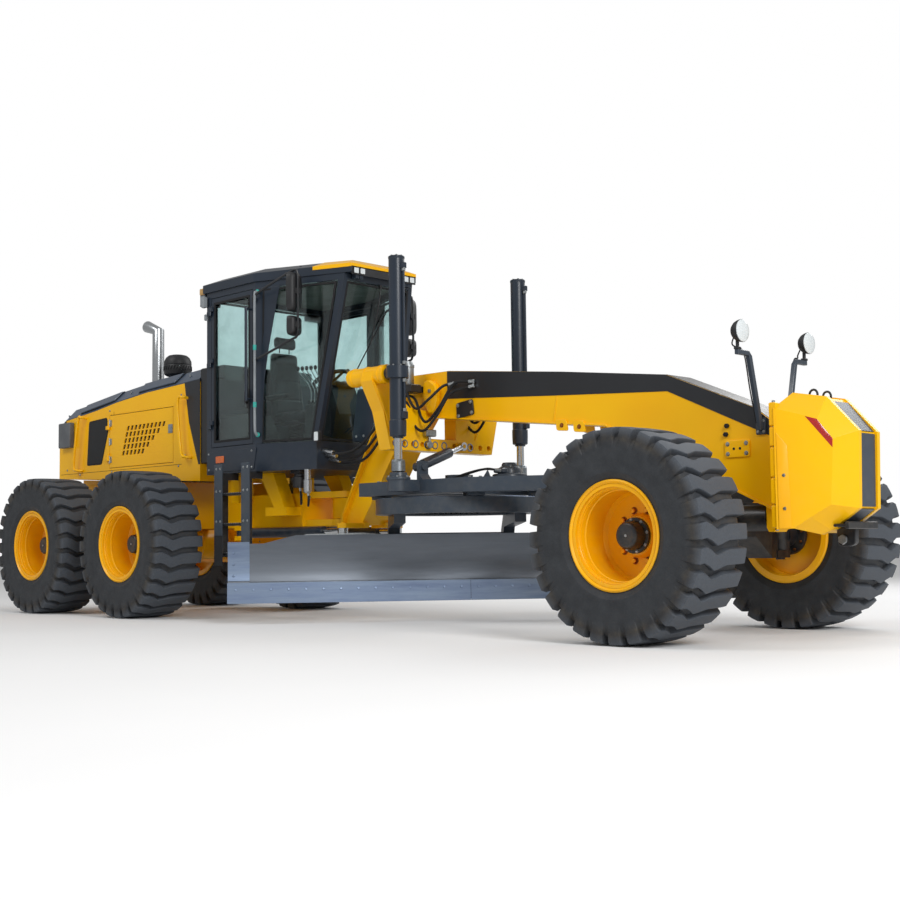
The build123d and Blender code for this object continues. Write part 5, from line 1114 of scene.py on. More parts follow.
# %% Mirrors
def silver(name):
    """Silvered glass: a mirror with a trace of dust."""
    material, tree, where = start(name)
    film = patches(tree, where, 12.0, 0.45, 0.8, 5.0)
    return surfaced(material, {
        "Base Color": add(tree, "Mix", {0: film, 6: "#C9D3D6", 7: "#A7ADAF"}, 2, data_type="RGBA"),
        "Roughness": add(tree, "MapRange", {0: film, 3: 0.03, 4: 0.25}), "Metallic": 1.0})


def pillow(half_w, half_h, depth):
    """A moulded shell: rings of a rounded rectangle, |x|^5 + |y|^5 = 1, that shrink towards the back."""
    t = angles(48)
    power = 2 / 5
    ring = np.stack([np.sign(np.cos(t)) * np.abs(np.cos(t)) ** power,
                     np.sign(np.sin(t)) * np.abs(np.sin(t)) ** power], -1)
    rings = []
    for back, size in ((0.0, 0.0), (0.0, 0.93), (0.002, 0.99), (0.010, 1.0), (0.45, 1.0), (0.72, 0.95),
                       (0.90, 0.84), (1.0, 0.62), (1.0, 0.0)):
        pull = (1 - size) * min(half_w, half_h)
        across = ring[:, 0] * (half_w - pull) if size else 0 * t
        upward = ring[:, 1] * (half_h - pull) if size else 0 * t
        rings.append(np.stack([across, 0 * t + back * depth, upward], -1))
    return grid(np.array(rings), close_v=True)


def turned_by(shape, degrees_round, place_at):
    """A shape turned about the upright axis and set down at a place."""
    a = radians(degrees_round)
    spin = np.array([[cos(a), -sin(a), 0], [sin(a), cos(a), 0], [0, 0, 1]])
    return shape[0] @ spin.T + np.asarray(place_at, float), shape[1]


mirror_silver = silver("mirror_silver")
mirror_shells, mirror_tubes, glasses = [], [], []
for s, x, rise, angle in ((-1, -3.985, 0.055, -68), (1, -4.03, 0.0, -84)):
    y = s * 0.735
    for z, half_w, half_h in ((2.905 + rise, 0.094, 0.178), (2.600 + rise, 0.086, 0.088)):
        mirror_shells.append(turned_by(pillow(half_w, half_h, 0.075), angle, (x - 0.04, y, z)))
        face = pillow(half_w - 0.009, half_h - 0.009, 0.003)
        glasses.append(turned_by((face[0] + [0, -0.0015, 0], face[1]), angle, (x - 0.04, y, z)))
    z1, z0 = 3.09 + rise, 2.47 + rise
    path = [(-4.54, s * 0.765, 2.96), (-4.47, s * 0.793, 3.00), (x - 0.03, y * 1.02, z1),
            (x + 0.045, y, z1 - 0.02), (x + 0.055, y, 2.9 + rise),
            (x + 0.055, y, 2.60 + rise), (x + 0.040, y, z0 + 0.03), (x - 0.03, y * 1.02, z0),
            (-4.40, s * 0.790, 2.41), (-4.54, s * 0.765, 2.40)]
    mirror_tubes.append(tube(smooth_path(at(path), 6), 0.0115, 10))
    mirror_shells += [brick((-4.56, s * CAB_SIDE, z - 0.022), (-4.52, s * 0.772, z + 0.022), 0.005)
                      for z in (2.96, 2.40)]
    mirror_shells += [brick((x + 0.015, y - 0.03, z - 0.03), (x + 0.062, y + 0.03, z + 0.03), 0.008)
                      for z in (2.905 + rise, 2.600 + rise)]
shells = lay("mirror_shells", mirror_shells, black_plastic, REAR)
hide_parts("mirrors")
place("mirror_tubes", mirror_tubes, navy_dark, REAR)
lay("mirror_glasses", glasses, mirror_silver, REAR)
lay("rear_lamp_sides", speakers, grey_plastic, REAR)
print("cab outside dressed")

# %% [markdown]
# ## Inside the cab
# The seat is sewn vinyl over foam. Each pad begins as a slim block, is remeshed fine, and is blown up
# by Blender's cloth with a little pressure, so that its sides pull in between its corners. No point may
# move further than a cap. Sewn channels are pressed in afterwards along straight lines.

# %% Seat vinyl
def vinyl(name, clean, worn):
    """Upholstery vinyl: fine leather grain, a soft sheen, paler where it is rubbed."""
    material, tree, where = start(name)
    rubbed = patches(tree, where, 7.0, 0.4, 0.7, 5.0)
    grain = add(tree, "TexVoronoi", {"Vector": where, "Scale": 420.0}, "Distance")
    return surfaced(material, {
        "Base Color": add(tree, "Mix", {0: rubbed, 6: clean, 7: worn}, 2, data_type="RGBA"),
        "Roughness": add(tree, "MapRange", {0: rubbed, 3: 0.45, 4: 0.6}),
        "Normal": relief(tree, grain, 0.18, 0.001)})


seat_vinyl = vinyl("seat_vinyl", "#1F2124", "#2E3135")

# %% Pads
ALONG, ACROSS = at((0, 0, 0))[:2]               # where the machine's x and y begin in the frame
CHANNEL = 0.15                                  # the two lengthwise channels stand this far from the middle
PAD_GRAIN, SEAM, RELAX_PASSES = 0.008, 0.009, 14   # mesh step, depth and half width of a sewn line, passes


def puffed(name, shape, body, cap, lines):
    """A pad: the shape remeshed, blown up by cloth pressure up to cap, then pressed in by
    exp(-(distance / width) ** 2) along its sewn lines, each (axis, level, axis it faces)."""
    piece = place(name, shape, seat_vinyl, body)
    remesh = piece.modifiers.new("remesh", "REMESH")
    remesh.mode = "VOXEL"
    remesh.voxel_size = PAD_GRAIN
    scene = bpy.context.scene
    fine = bpy.data.meshes.new_from_object(piece.evaluated_get(bpy.context.evaluated_depsgraph_get()))
    piece.modifiers.clear()
    piece.data = fine
    count = len(fine.vertices)
    before = np.empty(count * 3)
    fine.vertices.foreach_get("co", before)
    after = before.copy()
    cloth = piece.modifiers.new("cloth", "CLOTH")
    cloth.settings.use_pressure = True
    cloth.settings.uniform_pressure_force = 4.0
    cloth.settings.effector_weights.gravity = 0.0
    for step in range(1, 21):
        scene.frame_set(step)
    blown = piece.evaluated_get(bpy.context.evaluated_depsgraph_get())
    blown.data.vertices.foreach_get("co", after)
    piece.modifiers.clear()
    scene.frame_set(1)
    before, after = before.reshape(-1, 3), after.reshape(-1, 3)
    move = after - before
    far = np.linalg.norm(move, axis=1)[:, None]
    after = before + move * np.minimum(1.0, cap / np.maximum(far, 1e-9))
    # the fine wrinkles of the cloth are relaxed: each point moves halfway to the mean of its neighbours
    pairs = np.empty(len(fine.edges) * 2, int)
    fine.edges.foreach_get("vertices", pairs)
    a, b = pairs[0::2], pairs[1::2]
    share = np.bincount(np.r_[a, b], minlength=count)[:, None]
    for _ in range(RELAX_PASSES):
        mean = np.stack([np.bincount(np.r_[a, b], np.r_[after[b, k], after[a, k]], count)
                         for k in range(3)], -1) / share
        after = 0.5 * after + 0.5 * mean
    normals = np.empty(count * 3)
    fine.vertices.foreach_get("normal", normals)
    normals = normals.reshape(-1, 3)
    for axis, level, facing in lines:
        near = np.exp(-((after[:, axis] - level) / SEAM) ** 2) * np.clip(normals[:, facing], 0, 1)
        after = after - normals * (SEAM * near)[:, None]
    fine.vertices.foreach_set("co", after.reshape(-1))
    fine.shade_smooth()


def pad_block(low, high, cut):
    """A slim block with clipped upright corners, the start of a pad."""
    (x0, y0, z0), (x1, y1, z1) = low, high
    return plate(rounded(oblong(x0, x1, y0, y1), cut, 5), "z", z0, z1, 0.025)


puffed("seat_cushion", mid_shift(pad_block((-4.972, -0.228, 1.872), (-4.570, 0.228, 1.965), 0.06)), REAR,
       0.010, [(0, ALONG - 4.84, 2), (0, ALONG - 4.72, 2), (1, ACROSS - CHANNEL, 2), (1, ACROSS + CHANNEL, 2)])
slim = pad_block((0.0, -0.228, 0.0), (0.085, 0.228, 0.66), 0.035)
p = slim[0].copy()
# narrower towards the top, and leaning back by 45 mm over its height
p[:, 1] *= np.interp(p[:, 2], [0.0, 0.25, 0.66], [1.0, 0.97, 0.66])
p[:, 0] += -5.068 - p[:, 2] * (0.045 / 0.66)
p[:, 2] += 1.930
puffed("seat_backrest", mid_shift((p, slim[1])), REAR, 0.008,
       [(2, 2.12, 0), (2, 2.30, 0), (2, 2.48, 0), (1, ACROSS - CHANNEL, 0), (1, ACROSS + CHANNEL, 0)])
puffed("seat_headrest", mid_shift(pad_block((-5.082, -0.130, 2.618), (-5.022, 0.130, 2.748), 0.03)), REAR,
       0.006, [])
arms = []
for s in (-1, 1):
    arms.append(brick(at((-4.995, s * 0.244, 2.084)), at((-4.645, s * 0.306, 2.136)), 0.014))
    arms.append(brick(at((-4.975, s * 0.243, 1.905)), at((-4.905, s * 0.285, 2.084)), 0.008))
place("seat_armrests", arms, black_plastic, REAR)
shell = join(brick(at((-4.978, -0.236, 1.852)), at((-4.562, 0.236, 1.870)), 0.006),
             brick(at((-5.086, -0.236, 1.905)), at((-5.070, 0.236, 2.10)), 0.006),
             rod(at((-5.060, -0.06, 2.585)), at((-5.058, -0.06, 2.64)), 0.006, 10),
             rod(at((-5.060, 0.06, 2.585)), at((-5.058, 0.06, 2.64)), 0.006, 10))
place("seat_shell", shell, black_plastic, REAR)
# rubber bellows over the sprung base
FOLDS = 9
fold = [(1.64 + 0.21 * i / (2 * FOLDS), 0.155 if i % 2 else 0.135) for i in range(2 * FOLDS + 1)]
bellows = lathe([(fold[0][0], 0.0)] + fold + [(fold[-1][0], 0.0)], at((-4.76, 0, 0)), "z", 4, pi / 4)
base = join(brick(at((-4.855, -0.105, 1.406)), at((-4.665, 0.105, 1.50)), 0.006),
            brick(at((-4.84, -0.095, 1.50)), at((-4.68, 0.095, 1.645)), 0.006))
squeezed = np.clip(bellows[0][:, 0], ALONG - 4.858, ALONG - 4.662)
bellows = (np.column_stack([squeezed, bellows[0][:, 1:]]), bellows[1])
place("seat_bellows", bellows, seal_rubber, REAR)
base_piece = place("seat_base", base, navy_dark, REAR)
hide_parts("operator_seat")

# %% Levers, console and floor
levers, knobs, boots = [], [], []
for s in (-1, 1):
    for i in range(5):
        y = s * (0.185 + 0.042 * i)
        foot = np.array([-4.215, y, 1.98])
        top = np.array([-4.335, s * (0.20 + 0.052 * i), 2.335 - 0.008 * i])
        levers.append(tube(smooth_path(at([foot, foot + [-0.01, 0, 0.16], top]), 6), 0.0045, 8))
        knobs.append(lathe([(0, 0), (0.0, 0.008), (0.008, 0.015), (0.024, 0.0175), (0.038, 0.013),
                            (0.044, 0.0)], at(top), "z", 16))
        boots.append(lathe([(0, 0), (0, 0.017), (0.02, 0.012), (0.028, 0.006), (0.028, 0)], at(foot), "z",
                           14))
place("control_levers", levers, zinc, REAR)
place("lever_knobs", knobs, black_plastic, REAR)
banks = [plate(rounded([(-4.29, 1.42), (-4.15, 1.42), (-4.15, 1.93), (-4.17, 1.985), (-4.27, 1.985)], 0.02),
               "y", s * 0.165, s * 0.385, 0.008) for s in (-1, 1)]
place("lever_banks", join(mid_shift(join(*banks)), *boots), black_plastic, REAR)
floor_mat = plate(rounded([(-5.24, -0.70), (-4.56, -0.70), (-4.02, -0.50), (-4.02, 0.50), (-4.56, 0.70),
                           (-5.24, 0.70)], 0.03), "z", 1.406, 1.414, 0.002)
ribs_floor = [brick((x, -0.46, 1.4135), (x + 0.010, 0.46, 1.4175), 0.001)
              for x in np.arange(-4.60, -4.06, 0.035)]
lay("floor_mat", join(floor_mat, *ribs_floor), seal_rubber, REAR)
pedals = [brick(at((-4.06, y - 0.04, 1.50)), at((-4.04, y + 0.04, 1.62)), 0.004)
          for y in (-0.30, 0.24, 0.36)]
place("pedals", pedals, seal_rubber, REAR)
lining = plate(rounded([(-5.22, -0.64), (-4.55, -0.64), (-3.80, -0.36), (-3.80, 0.36), (-4.55, 0.64),
                        (-5.22, 0.64)], 0.04), "z", 3.108, 3.128, 0.006)
lay("roof_lining", lining, cream_plastic, REAR)
side_box = [plate(rounded([(-5.22, 1.42), (-4.62, 1.42), (-4.62, 1.72), (-4.75, 1.93), (-5.22, 1.93)],
                          0.03), "y", s * 0.40, s * 0.66, 0.01) for s in (-1, 1)]
lay("side_consoles", side_box, black_plastic, REAR)
dial = lathe([(0, 0), (0, 0.030), (0.006, 0.032), (0.012, 0.032), (0.012, 0.026), (0.006, 0.024), (0.006, 0)],
             ORIGIN, "z", 28)
tilt = radians(28)
turn = np.array([[cos(tilt), 0, -sin(tilt)], [0, 1, 0], [sin(tilt), 0, cos(tilt)]])
cluster = brick((-0.04, -0.13, -0.02), (0.04, 0.13, 0.02), 0.012)
place("instrument_cluster", (cluster[0] @ turn.T + at((-4.165, 0, 2.185)), cluster[1]), black_plastic, REAR)
ring = many(dial, [(0, y, 0.017) for y in (-0.08, 0.0, 0.08)])
place("instrument_dials", (ring[0] @ turn.T + at((-4.165, 0, 2.185)), ring[1]), grey_plastic, REAR)
print("cab inside dressed")

# %% [markdown]
# ## Engine hood
# The hood's upper edges are chamfered. A dark cover lies over the top and the chamfers, with two raised
# lids on each side. The side doors are rebuilt with their real rows of slots, so that each slot is a hole
# between steel bars with dark mesh behind it.

# %% Top cover
HOOD_SIDE = 0.5602                            # just outside the hood's side plates
HOOD_TOP = [(-8.475, 2.175), (-8.330, 2.252), (-7.700, 2.314), (-7.270, 2.372), (-6.670, 2.428),
            (-5.980, 2.460), (-5.705, 2.475)]
hood_x = np.array([x for x, _ in HOOD_TOP])
hood_z = np.array([z for _, z in HOOD_TOP])


def over_hood(x0, x1, lift, y_edge=0.5615, drop=0.128, y_in=0.44):
    """A sheet that follows the hood's top from x0 to x1: side edge, chamfer, top, chamfer, side edge."""
    xs = sorted({x0, x1, *[x for x in hood_x if x0 < x < x1]})
    rows = []
    for x in xs:
        z = np.interp(x, hood_x, hood_z)
        half = [(y_edge, z - drop), (y_edge, z - 0.119), (y_in, z + lift), (0.20, z + lift), (0, z + lift)]
        upper = [(x, -y, h) for y, h in half] + [(x, y, h) for y, h in half[-2::-1]]
        under = [(x, 0.30 * k, z - 0.10) for k in (1, 0, -1)]
        rows.append(upper + under)
    return capped(np.array(rows))


def chamfer_slab(side, x0, x1, low, high, thick, bevel=0.03):
    """A slab on the chamfer between shares low and high of its width, its corners cut by bevel."""
    outline = rounded([(x0 + bevel, low), (x1 - bevel, low), (x1, high), (x0, high)], 0.012)
    rows = []
    for lift, pull in ((0.0, 0.0), (thick * 0.75, 0.0), (thick, 0.006)):
        middle = np.mean(outline, axis=0)
        row = []
        for x, share in outline:
            xx = middle[0] + (x - middle[0]) * (1 - pull)
            ss = middle[1] + (share - middle[1]) * (1 - pull * 5)
            z = np.interp(xx, hood_x, hood_z)
            y = 0.560 - 0.120 * ss
            h = z - 0.120 + 0.120 * ss
            row.append((xx, side * (y + lift * 0.7071), h + lift * 0.7071))
        rows.append(row)
    return capped(np.array(rows))


# the cover and its lids take the paler navy: painted light on faces that look up
lay("hood_cover", over_hood(-8.47, -5.71, 0.004), navy_painted_light, REAR, sharp=15)
upper_line = [(-8.330, 1.95), *[(x, z - 0.124) for x, z in HOOD_TOP[1:]], (-5.705, 2.10), (-6.10, 2.14),
              (-7.50, 2.12)]
lay("hood_upper_sides", side_plates(upper_line, 0.5585, HOOD_SIDE, 0.0), yellow, REAR)
lids, frames = [], []
for s in (-1, 1):
    for x0, x1 in ((-8.05, -7.30), (-6.86, -6.14)):
        frames.append(chamfer_slab(s, x0 - 0.014, x1 + 0.014, 0.10, 1.04, 0.010))
        lids.append(chamfer_slab(s, x0, x1, 0.16, 0.98, 0.020))
lay("hood_lid_seals", frames, seal_rubber, REAR, sharp=20)
lay("hood_lids", lids, navy_painted_light, REAR, sharp=20)
top_bolts = []
for x in (-8.36, -7.06, -5.95, -5.76):
    z = np.interp(x, hood_x, hood_z)
    for s in (-1, 1):
        a = np.array([x, s * 0.500, z - 0.058])
        d = np.array([0, s * 0.7071, 0.7071])
        top_bolts += [rod(at(a), at(a + d * 0.012), 0.012, 12, 0.002),
                      rod(at(a + d * 0.010), at(a + d * 0.019), 0.008, 6, 0.001)]
place("hood_cover_bolts", top_bolts, zinc, REAR)
print("hood top covered")

# %% Side doors with their slots
DOOR_LOW, DOOR_HIGH, DOOR_REAR, DOOR_FRONT = 1.545, 2.110, -7.400, -6.180
LEAN = 0.50                                   # a slot leans this much forward for each unit of height
# top of the row, start of its first slot and number of slots
ROWS = [(1.975, -7.068, 10), (1.910, -7.095, 9), (1.845, -7.118, 8), (1.780, -7.140, 7), (1.715, -7.160, 6)]
SLOT_TALL, SLOT_WIDE, STEP = 0.049, 0.046, 0.0755


def door_skin(side):
    """The pressed door: bands between the rows, and in each row the bars between the slots."""
    y0, y1 = side * 0.548, side * HOOD_SIDE
    parts = []
    levels = [DOOR_HIGH] + [v for z, *_ in ROWS for v in (z, z - SLOT_TALL)] + [DOOR_LOW]
    for high, low in zip(levels[0::2], levels[1::2]):
        parts.append(plate(oblong(DOOR_REAR, DOOR_FRONT, low, high), "y", y0, y1, 0.0))
    for z, start_x, count in ROWS:
        low = z - SLOT_TALL
        edges = [DOOR_REAR] + [v for k in range(count)
                               for v in (start_x + k * STEP, start_x + k * STEP + SLOT_WIDE)] + [DOOR_FRONT]
        for k in range(0, len(edges), 2):
            a, b = edges[k], edges[k + 1]
            la = LEAN * SLOT_TALL if k else 0.0
            lb = LEAN * SLOT_TALL if k + 2 < len(edges) else 0.0
            parts.append(plate([(a, low), (b, low), (b + lb, z), (a + la, z)], "y", y0, y1, 0.0))
    return join(*parts)


HINGE_Z = (1.59, 1.785, 1.985)                  # feet of the hinges on a hood door
mesh_dark = plastic("fine_black_mesh", "#15171A", "#24272B", grain=600.0, rough=0.7, bump=0.6)
for name, s in SIDES.items():
    skin = join(door_skin(s), brick((DOOR_REAR, s * 0.515, DOOR_LOW), (DOOR_FRONT, s * 0.546, DOOR_HIGH),
                                    0.002))
    door_piece = lay(f"hood_door_skin_{name}", skin, yellow, f"hood_door_{name}", sharp=20)
    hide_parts(f"hood_door_{name}")
    field = [(-7.22, 1.65), (-6.62, 1.65), (-6.24, 1.99), (-7.10, 1.99)]
    lay(f"hood_door_mesh_{name}", plate(field, "y", s * 0.5461, s * 0.5475, 0.0), mesh_dark,
        f"hood_door_{name}")
    latch = join(plate(rounded(oblong(-6.262, -6.185, 1.845, 1.935), 0.008), "y", s * HOOD_SIDE, s * 0.5665,
                       0.002),
                 plate(rounded(oblong(-6.250, -6.198, 1.858, 1.922), 0.006), "y", s * 0.566, s * 0.5705,
                       0.002))
    lay(f"hood_door_latch_{name}", latch, grey_plastic, f"hood_door_{name}")
    hinges = [rod((-7.395, s * 0.5655, z), (-7.395, s * 0.5655, z + 0.085), 0.008, 12, 0.002)
              for z in HINGE_Z]
    hinges += [brick((-7.388, s * 0.5603, z + 0.01), (-7.355, s * 0.5655, z + 0.075), 0.001)
               for z in HINGE_Z]
    lay(f"hood_door_hinges_{name}", hinges, zinc, f"hood_door_{name}")
    # dark window with a mesh behind the door, in a rubber frame
    window = [(-7.870, 1.590), (-7.560, 1.590), (-7.425, 1.955), (-7.455, 2.098), (-7.830, 2.078)]
    lay(f"hood_window_seal_{name}", plate(rounded(window, 0.025), "y", s * HOOD_SIDE, s * 0.5635, 0.002),
        seal_rubber, REAR)
    lay(f"hood_window_mesh_{name}",
        plate(rounded(inset(np.array(window), 0.014), 0.018), "y", s * 0.563, s * 0.5645, 0.0005),
          mesh_dark, REAR)
    # seams pressed into the side below and behind the door
    seams = join(brick(at((-8.45, s * 0.5600, 1.513)), at((-6.02, s * 0.5612, 1.517)), 0.0005),
                 brick(at((-7.318, s * 0.5600, 2.112)), at((-7.314, s * 0.5612, 2.15)), 0.0005))
    place(f"hood_seams_{name}", seams, seal_rubber, REAR)
    side_bolt_places = [(-8.02, 1.50), (-7.35, 1.50), (-6.08, 1.50), (-6.06, 1.36), (-6.03, 2.22),
                        (-7.40, 2.165), (-8.30, 1.56), (-5.96, 1.60)]
    place(f"hood_side_bolts_{name}",
          bolts([at((x, s * HOOD_SIDE, z)) for x, z in side_bolt_places], "y", 0.009, s), zinc, REAR)
    # the dark wedge at the hood's front edge
    wedge_line = [(-5.971, 2.336), (-5.699, 2.352), (-5.699, 1.500), (-5.728, 1.500), (-5.891, 1.929)]
    lay(f"hood_wedge_{name}", plate(wedge_line, "y", s * HOOD_SIDE, s * 0.5635, 0.001), navy_dark, REAR)

# a dark block fills the gap between the hood and the cab: painted shade
lay("cab_hood_gap_shade", brick((-5.702, -0.552, 1.500), (-5.314, 0.552, 2.455), 0.01), navy_dark, REAR)
print("hood sides made")

# %% Handrails
rails = []
for s in (-1, 1):
    for line in ([(-5.915, 0.560, 2.178), (-5.930, 0.615, 2.185), (-6.005, 0.622, 2.140),
                  (-5.950, 0.622, 1.650), (-5.880, 0.615, 1.580), (-5.850, 0.560, 1.575)],
                 [(-7.900, 0.560, 2.120), (-7.915, 0.615, 2.130), (-7.968, 0.622, 2.090),
                  (-8.055, 0.622, 1.610), (-8.000, 0.615, 1.545), (-7.965, 0.560, 1.540)]):
        rails.append(tube(smooth_path(at([(x, s * y, z) for x, y, z in line]), 8), 0.0145, 12))
rail_piece = place("hood_handrails", rails, yellow, REAR)
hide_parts("handrails")

# %% Exhaust and air cleaner
pipe_line = at([(-7.325, 0, 2.300), (-7.325, 0, 2.70), (-7.325, 0, 3.085), (-7.545, 0, 3.166)])
outer = tube(pipe_line, 0.066, 28)
collar = lathe([(2.33, 0.066), (2.33, 0.088), (2.352, 0.090), (2.358, 0.076), (2.372, 0.0725),
                (2.402, 0.0725), (2.405, 0.066)], at((-7.325, 0, 0)), "z", 32)
stack_piece = place("exhaust_pipe", join(outer, collar), stainless, REAR, sharp=40)
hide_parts("exhaust_stack")
ahead = pipe_line[-1] - pipe_line[-2]
ahead /= np.linalg.norm(ahead)
# a dark disc over the pipe's closed end: painted shade of its hollow, with its soot
place("exhaust_mouth_shade", rod(pipe_line[-1] - ahead * 0.004, pipe_line[-1] + ahead * 0.0012, 0.0600, 28, 0.0),
      seal_rubber, REAR)
bowl_profile = [(2.300, 0), (2.300, 0.062), (2.530, 0.062), (2.545, 0.120), (2.560, 0.142), (2.600, 0.150),
                (2.655, 0.150), (2.662, 0.146), (2.668, 0.150),
                (2.706, 0.147), (2.745, 0.128), (2.768, 0.100), (2.776, 0.070), (2.7765, 0)]
cleaner = place("air_cleaner_bowl", lathe(bowl_profile, at((-6.940, 0, 0)), "z", 40), black_plastic, REAR,
                sharp=30)
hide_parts("air_precleaner")
vanes = [rod(at((-6.940 + 0.151 * cos(a), 0.151 * sin(a), 2.604)),
             at((-6.940 + 0.149 * cos(a + 0.12), 0.149 * sin(a + 0.12), 2.650)), 0.005, 6, 0.0)
         for a in angles(28)]
place("air_cleaner_vanes", vanes, seal_rubber, REAR)
place("air_cleaner_band", lathe([(2.400, 0.062), (2.400, 0.067), (2.414, 0.067), (2.414, 0.062)],
                                at((-6.940, 0, 0)), "z", 32), zinc, REAR)

# %% Tail
boxes, reds, ambers, clears = [], [], [], []
for s in (-1, 1):
    low, high = sorted((s * 0.562, s * 0.624))
    boxes.append(plate(rounded(oblong(-8.400, -8.150, 1.812, 2.092), 0.012), "y", low, high, 0.008))
    for group, (z0, z1) in ((reds, (1.995, 2.078)), (ambers, (1.910, 1.985)), (clears, (1.826, 1.900))):
        group.append(brick((-8.405, low + 0.012, z0), (-8.392, high - 0.012, z1), 0.004))
boxes_piece = lay("tail_lamp_boxes", boxes, grey_dark, REAR)
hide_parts("tail_lamps")
lay("tail_lamps_red", reds, red_lens, REAR)
lay("tail_lamps_amber", ambers, amber_lens, REAR)
lay("tail_lamps_clear", clears, clear_lens, REAR)
# radiator door in the rear face: a frame, slanted blades and two locks
rear_x = -8.4802
# (y, y, z, z) of the two rails, the two stiles and the middle bar
BARS = [(-0.44, 0.44, 1.52, 1.56), (-0.44, 0.44, 2.08, 2.12), (-0.44, -0.40, 1.56, 2.08),
        (0.40, 0.44, 1.56, 2.08),
        (-0.018, 0.018, 1.56, 2.08)]
frame_bars = [brick((rear_x - 0.022, y0, z0), (rear_x, y1, z1), 0.004) for y0, y1, z0, z1 in BARS]
lay("radiator_frame", frame_bars, yellow, REAR)
lay("radiator_mesh", brick((rear_x - 0.004, -0.40, 1.56), (rear_x, 0.40, 2.08), 0.0), mesh_dark, REAR)
blades = []
for z in np.arange(1.575, 2.07, 0.026):
    for y0, y1 in ((-0.399, -0.019), (0.019, 0.399)):
        blades.append(plate([(rear_x - 0.004, z), (rear_x - 0.019, z - 0.011), (rear_x - 0.021, z - 0.009),
                             (rear_x - 0.004, z + 0.004)], "y", y0, y1, 0.0))
lay("radiator_blades", blades, navy_dark, REAR)
locks = [rod((rear_x - near, 0.42, z), (rear_x - far, 0.42, z), radius, sides, edge) for z in (1.70, 1.94)
         for near, far, radius, sides, edge in ((0.022, 0.030, 0.022, 20, 0.003),
                                                (0.030, 0.034, 0.010, 6, 0.001))]
lay("radiator_locks", locks, black_plastic, REAR)
reflectors = [brick((rear_x - 0.006, y - 0.045, 1.385), (rear_x, y + 0.045, 1.420), 0.002)
              for y in (-0.45, 0.45)]
lay("rear_reflectors", reflectors, red_lens, REAR)
print("tail made")

# %% [markdown]
# ## Blade lift cylinders
# Each lift cylinder hangs in its yoke. A steel pipe carries oil along the barrel to the far end.

# %% Barrels
def ported(points, radius, body, name):
    """A pipe on a smooth path with a nut at each end."""
    path = smooth_path(points, 8)
    nuts = []
    for end, inner in ((path[0], path[1]), (path[-1], path[-2])):
        along = (inner - end) / np.linalg.norm(inner - end)
        nuts.append(rod(end, end + along * 0.026, radius * 1.7, 6, 0.001))
    place(name, tube(path, radius, 10), navy, body)
    place(name + "_nuts", join(*nuts), zinc, body)


def bolt_ring(centre, axis, reach, low, high, radius, count, first=0.0):
    """Hexagon heads from low to high along an axis: places (reach cos a, reach sin a) round a centre."""
    heads = []
    for a in angles(count, first):
        u, v = reach * cos(a), reach * sin(a)
        foot, top = [centre + np.array([u, v, h] if axis == "z" else [u, h, v]) for h in (low, high)]
        heads.append(rod(foot, top, radius, 6, 0.001))
    return join(*heads)


for name, s in SIDES.items():
    body = f"lift_cylinder_{name}"
    c = at((-2.610, s * 0.750, 0))
    barrel = [lathe([(3.028, 0.064), (3.036, 0.0685), (3.052, 0.0685), (3.058, 0.062), (3.058, 0.0)], c,
                    "z", 40),
              lathe([(1.560, 0.036), (1.560, 0.062), (1.566, 0.068), (1.630, 0.0705), (1.690, 0.0705),
                     (1.696, 0.066)], c, "z", 40),
              lathe([(1.545, 0.034), (1.545, 0.046), (1.562, 0.048)], c, "z", 32),
              brick(c + [0.050, -0.022, 2.945], c + [0.098, 0.022, 2.995], 0.004),
              brick(c + [0.050, -0.024, 1.700], c + [0.098, 0.024, 1.762], 0.004)]
    place(f"{body}_fittings", barrel, navy, body)
    ported([c + [0.084, 0.0, 2.950], c + [0.084, 0.0, 2.70], c + [0.084, 0.0, 2.20],
            c + [0.084, 0.0, 2.150]], 0.0105, body, f"{body}_pipe_upper")
    ported([c + [0.084, 0.0, 2.030], c + [0.084, 0.0, 1.95], c + [0.084, 0.0, 1.84],
            c + [0.084, 0.0, 1.760]], 0.0105, body, f"{body}_pipe_lower")
    head_bolts = bolt_ring(c, "z", 0.046, 3.056, 3.066, 0.009, 6, 0.3)
    yoke_bolts = bolt_ring(c, "z", 0.081, 2.139, 2.150, 0.008, 8, 0.4)
    place(f"{body}_bolts", join(head_bolts, yoke_bolts), zinc, body)
    rod_body = f"lift_rod_{name}"
    cap = lathe([(1.372, 0.034), (1.372, 0.041), (1.352, 0.056), (1.275, 0.057), (1.270, 0.052),
                 (1.270, 0.034)], c, "z", 32)
    place(f"{rod_body}_cap", cap, steel_cap, rod_body)
    place(f"{rod_body}_cap_bolts", bolt_ring(c, "z", 0.0475, 1.352, 1.368, 0.0075, 6), zinc, rod_body)
    seat_ring = lathe([(1.203, 0.098), (1.212, 0.100), (1.224, 0.098), (1.232, 0.074), (1.262, 0.070),
                       (1.266, 0.060), (1.262, 0.052)], c, "z", 36)
    place(f"lift_ball_seat_{name}", seat_ring, slate, "drawbar")
    place(f"lift_ball_bolts_{name}", bolt_ring(c, "z", 0.087, 1.222, 1.238, 0.010, 6, 0.2), zinc, "drawbar")
print("lift cylinders dressed")

# %% [markdown]
# ## Drawbar and circle
# The drawbar is a welded frame that hangs the toothed circle. Its ears, gussets, guide shoes and the hoses
# to the circle's motor are laid on it here.

# %% Drawbar plates
gussets = mid_shift(side_plates([(-1.98, 1.205), (-1.90, 1.205), (-1.93, 1.262)], 0.40, 0.412, 0.001))
place("drawbar_gussets", gussets, slate, "drawbar")
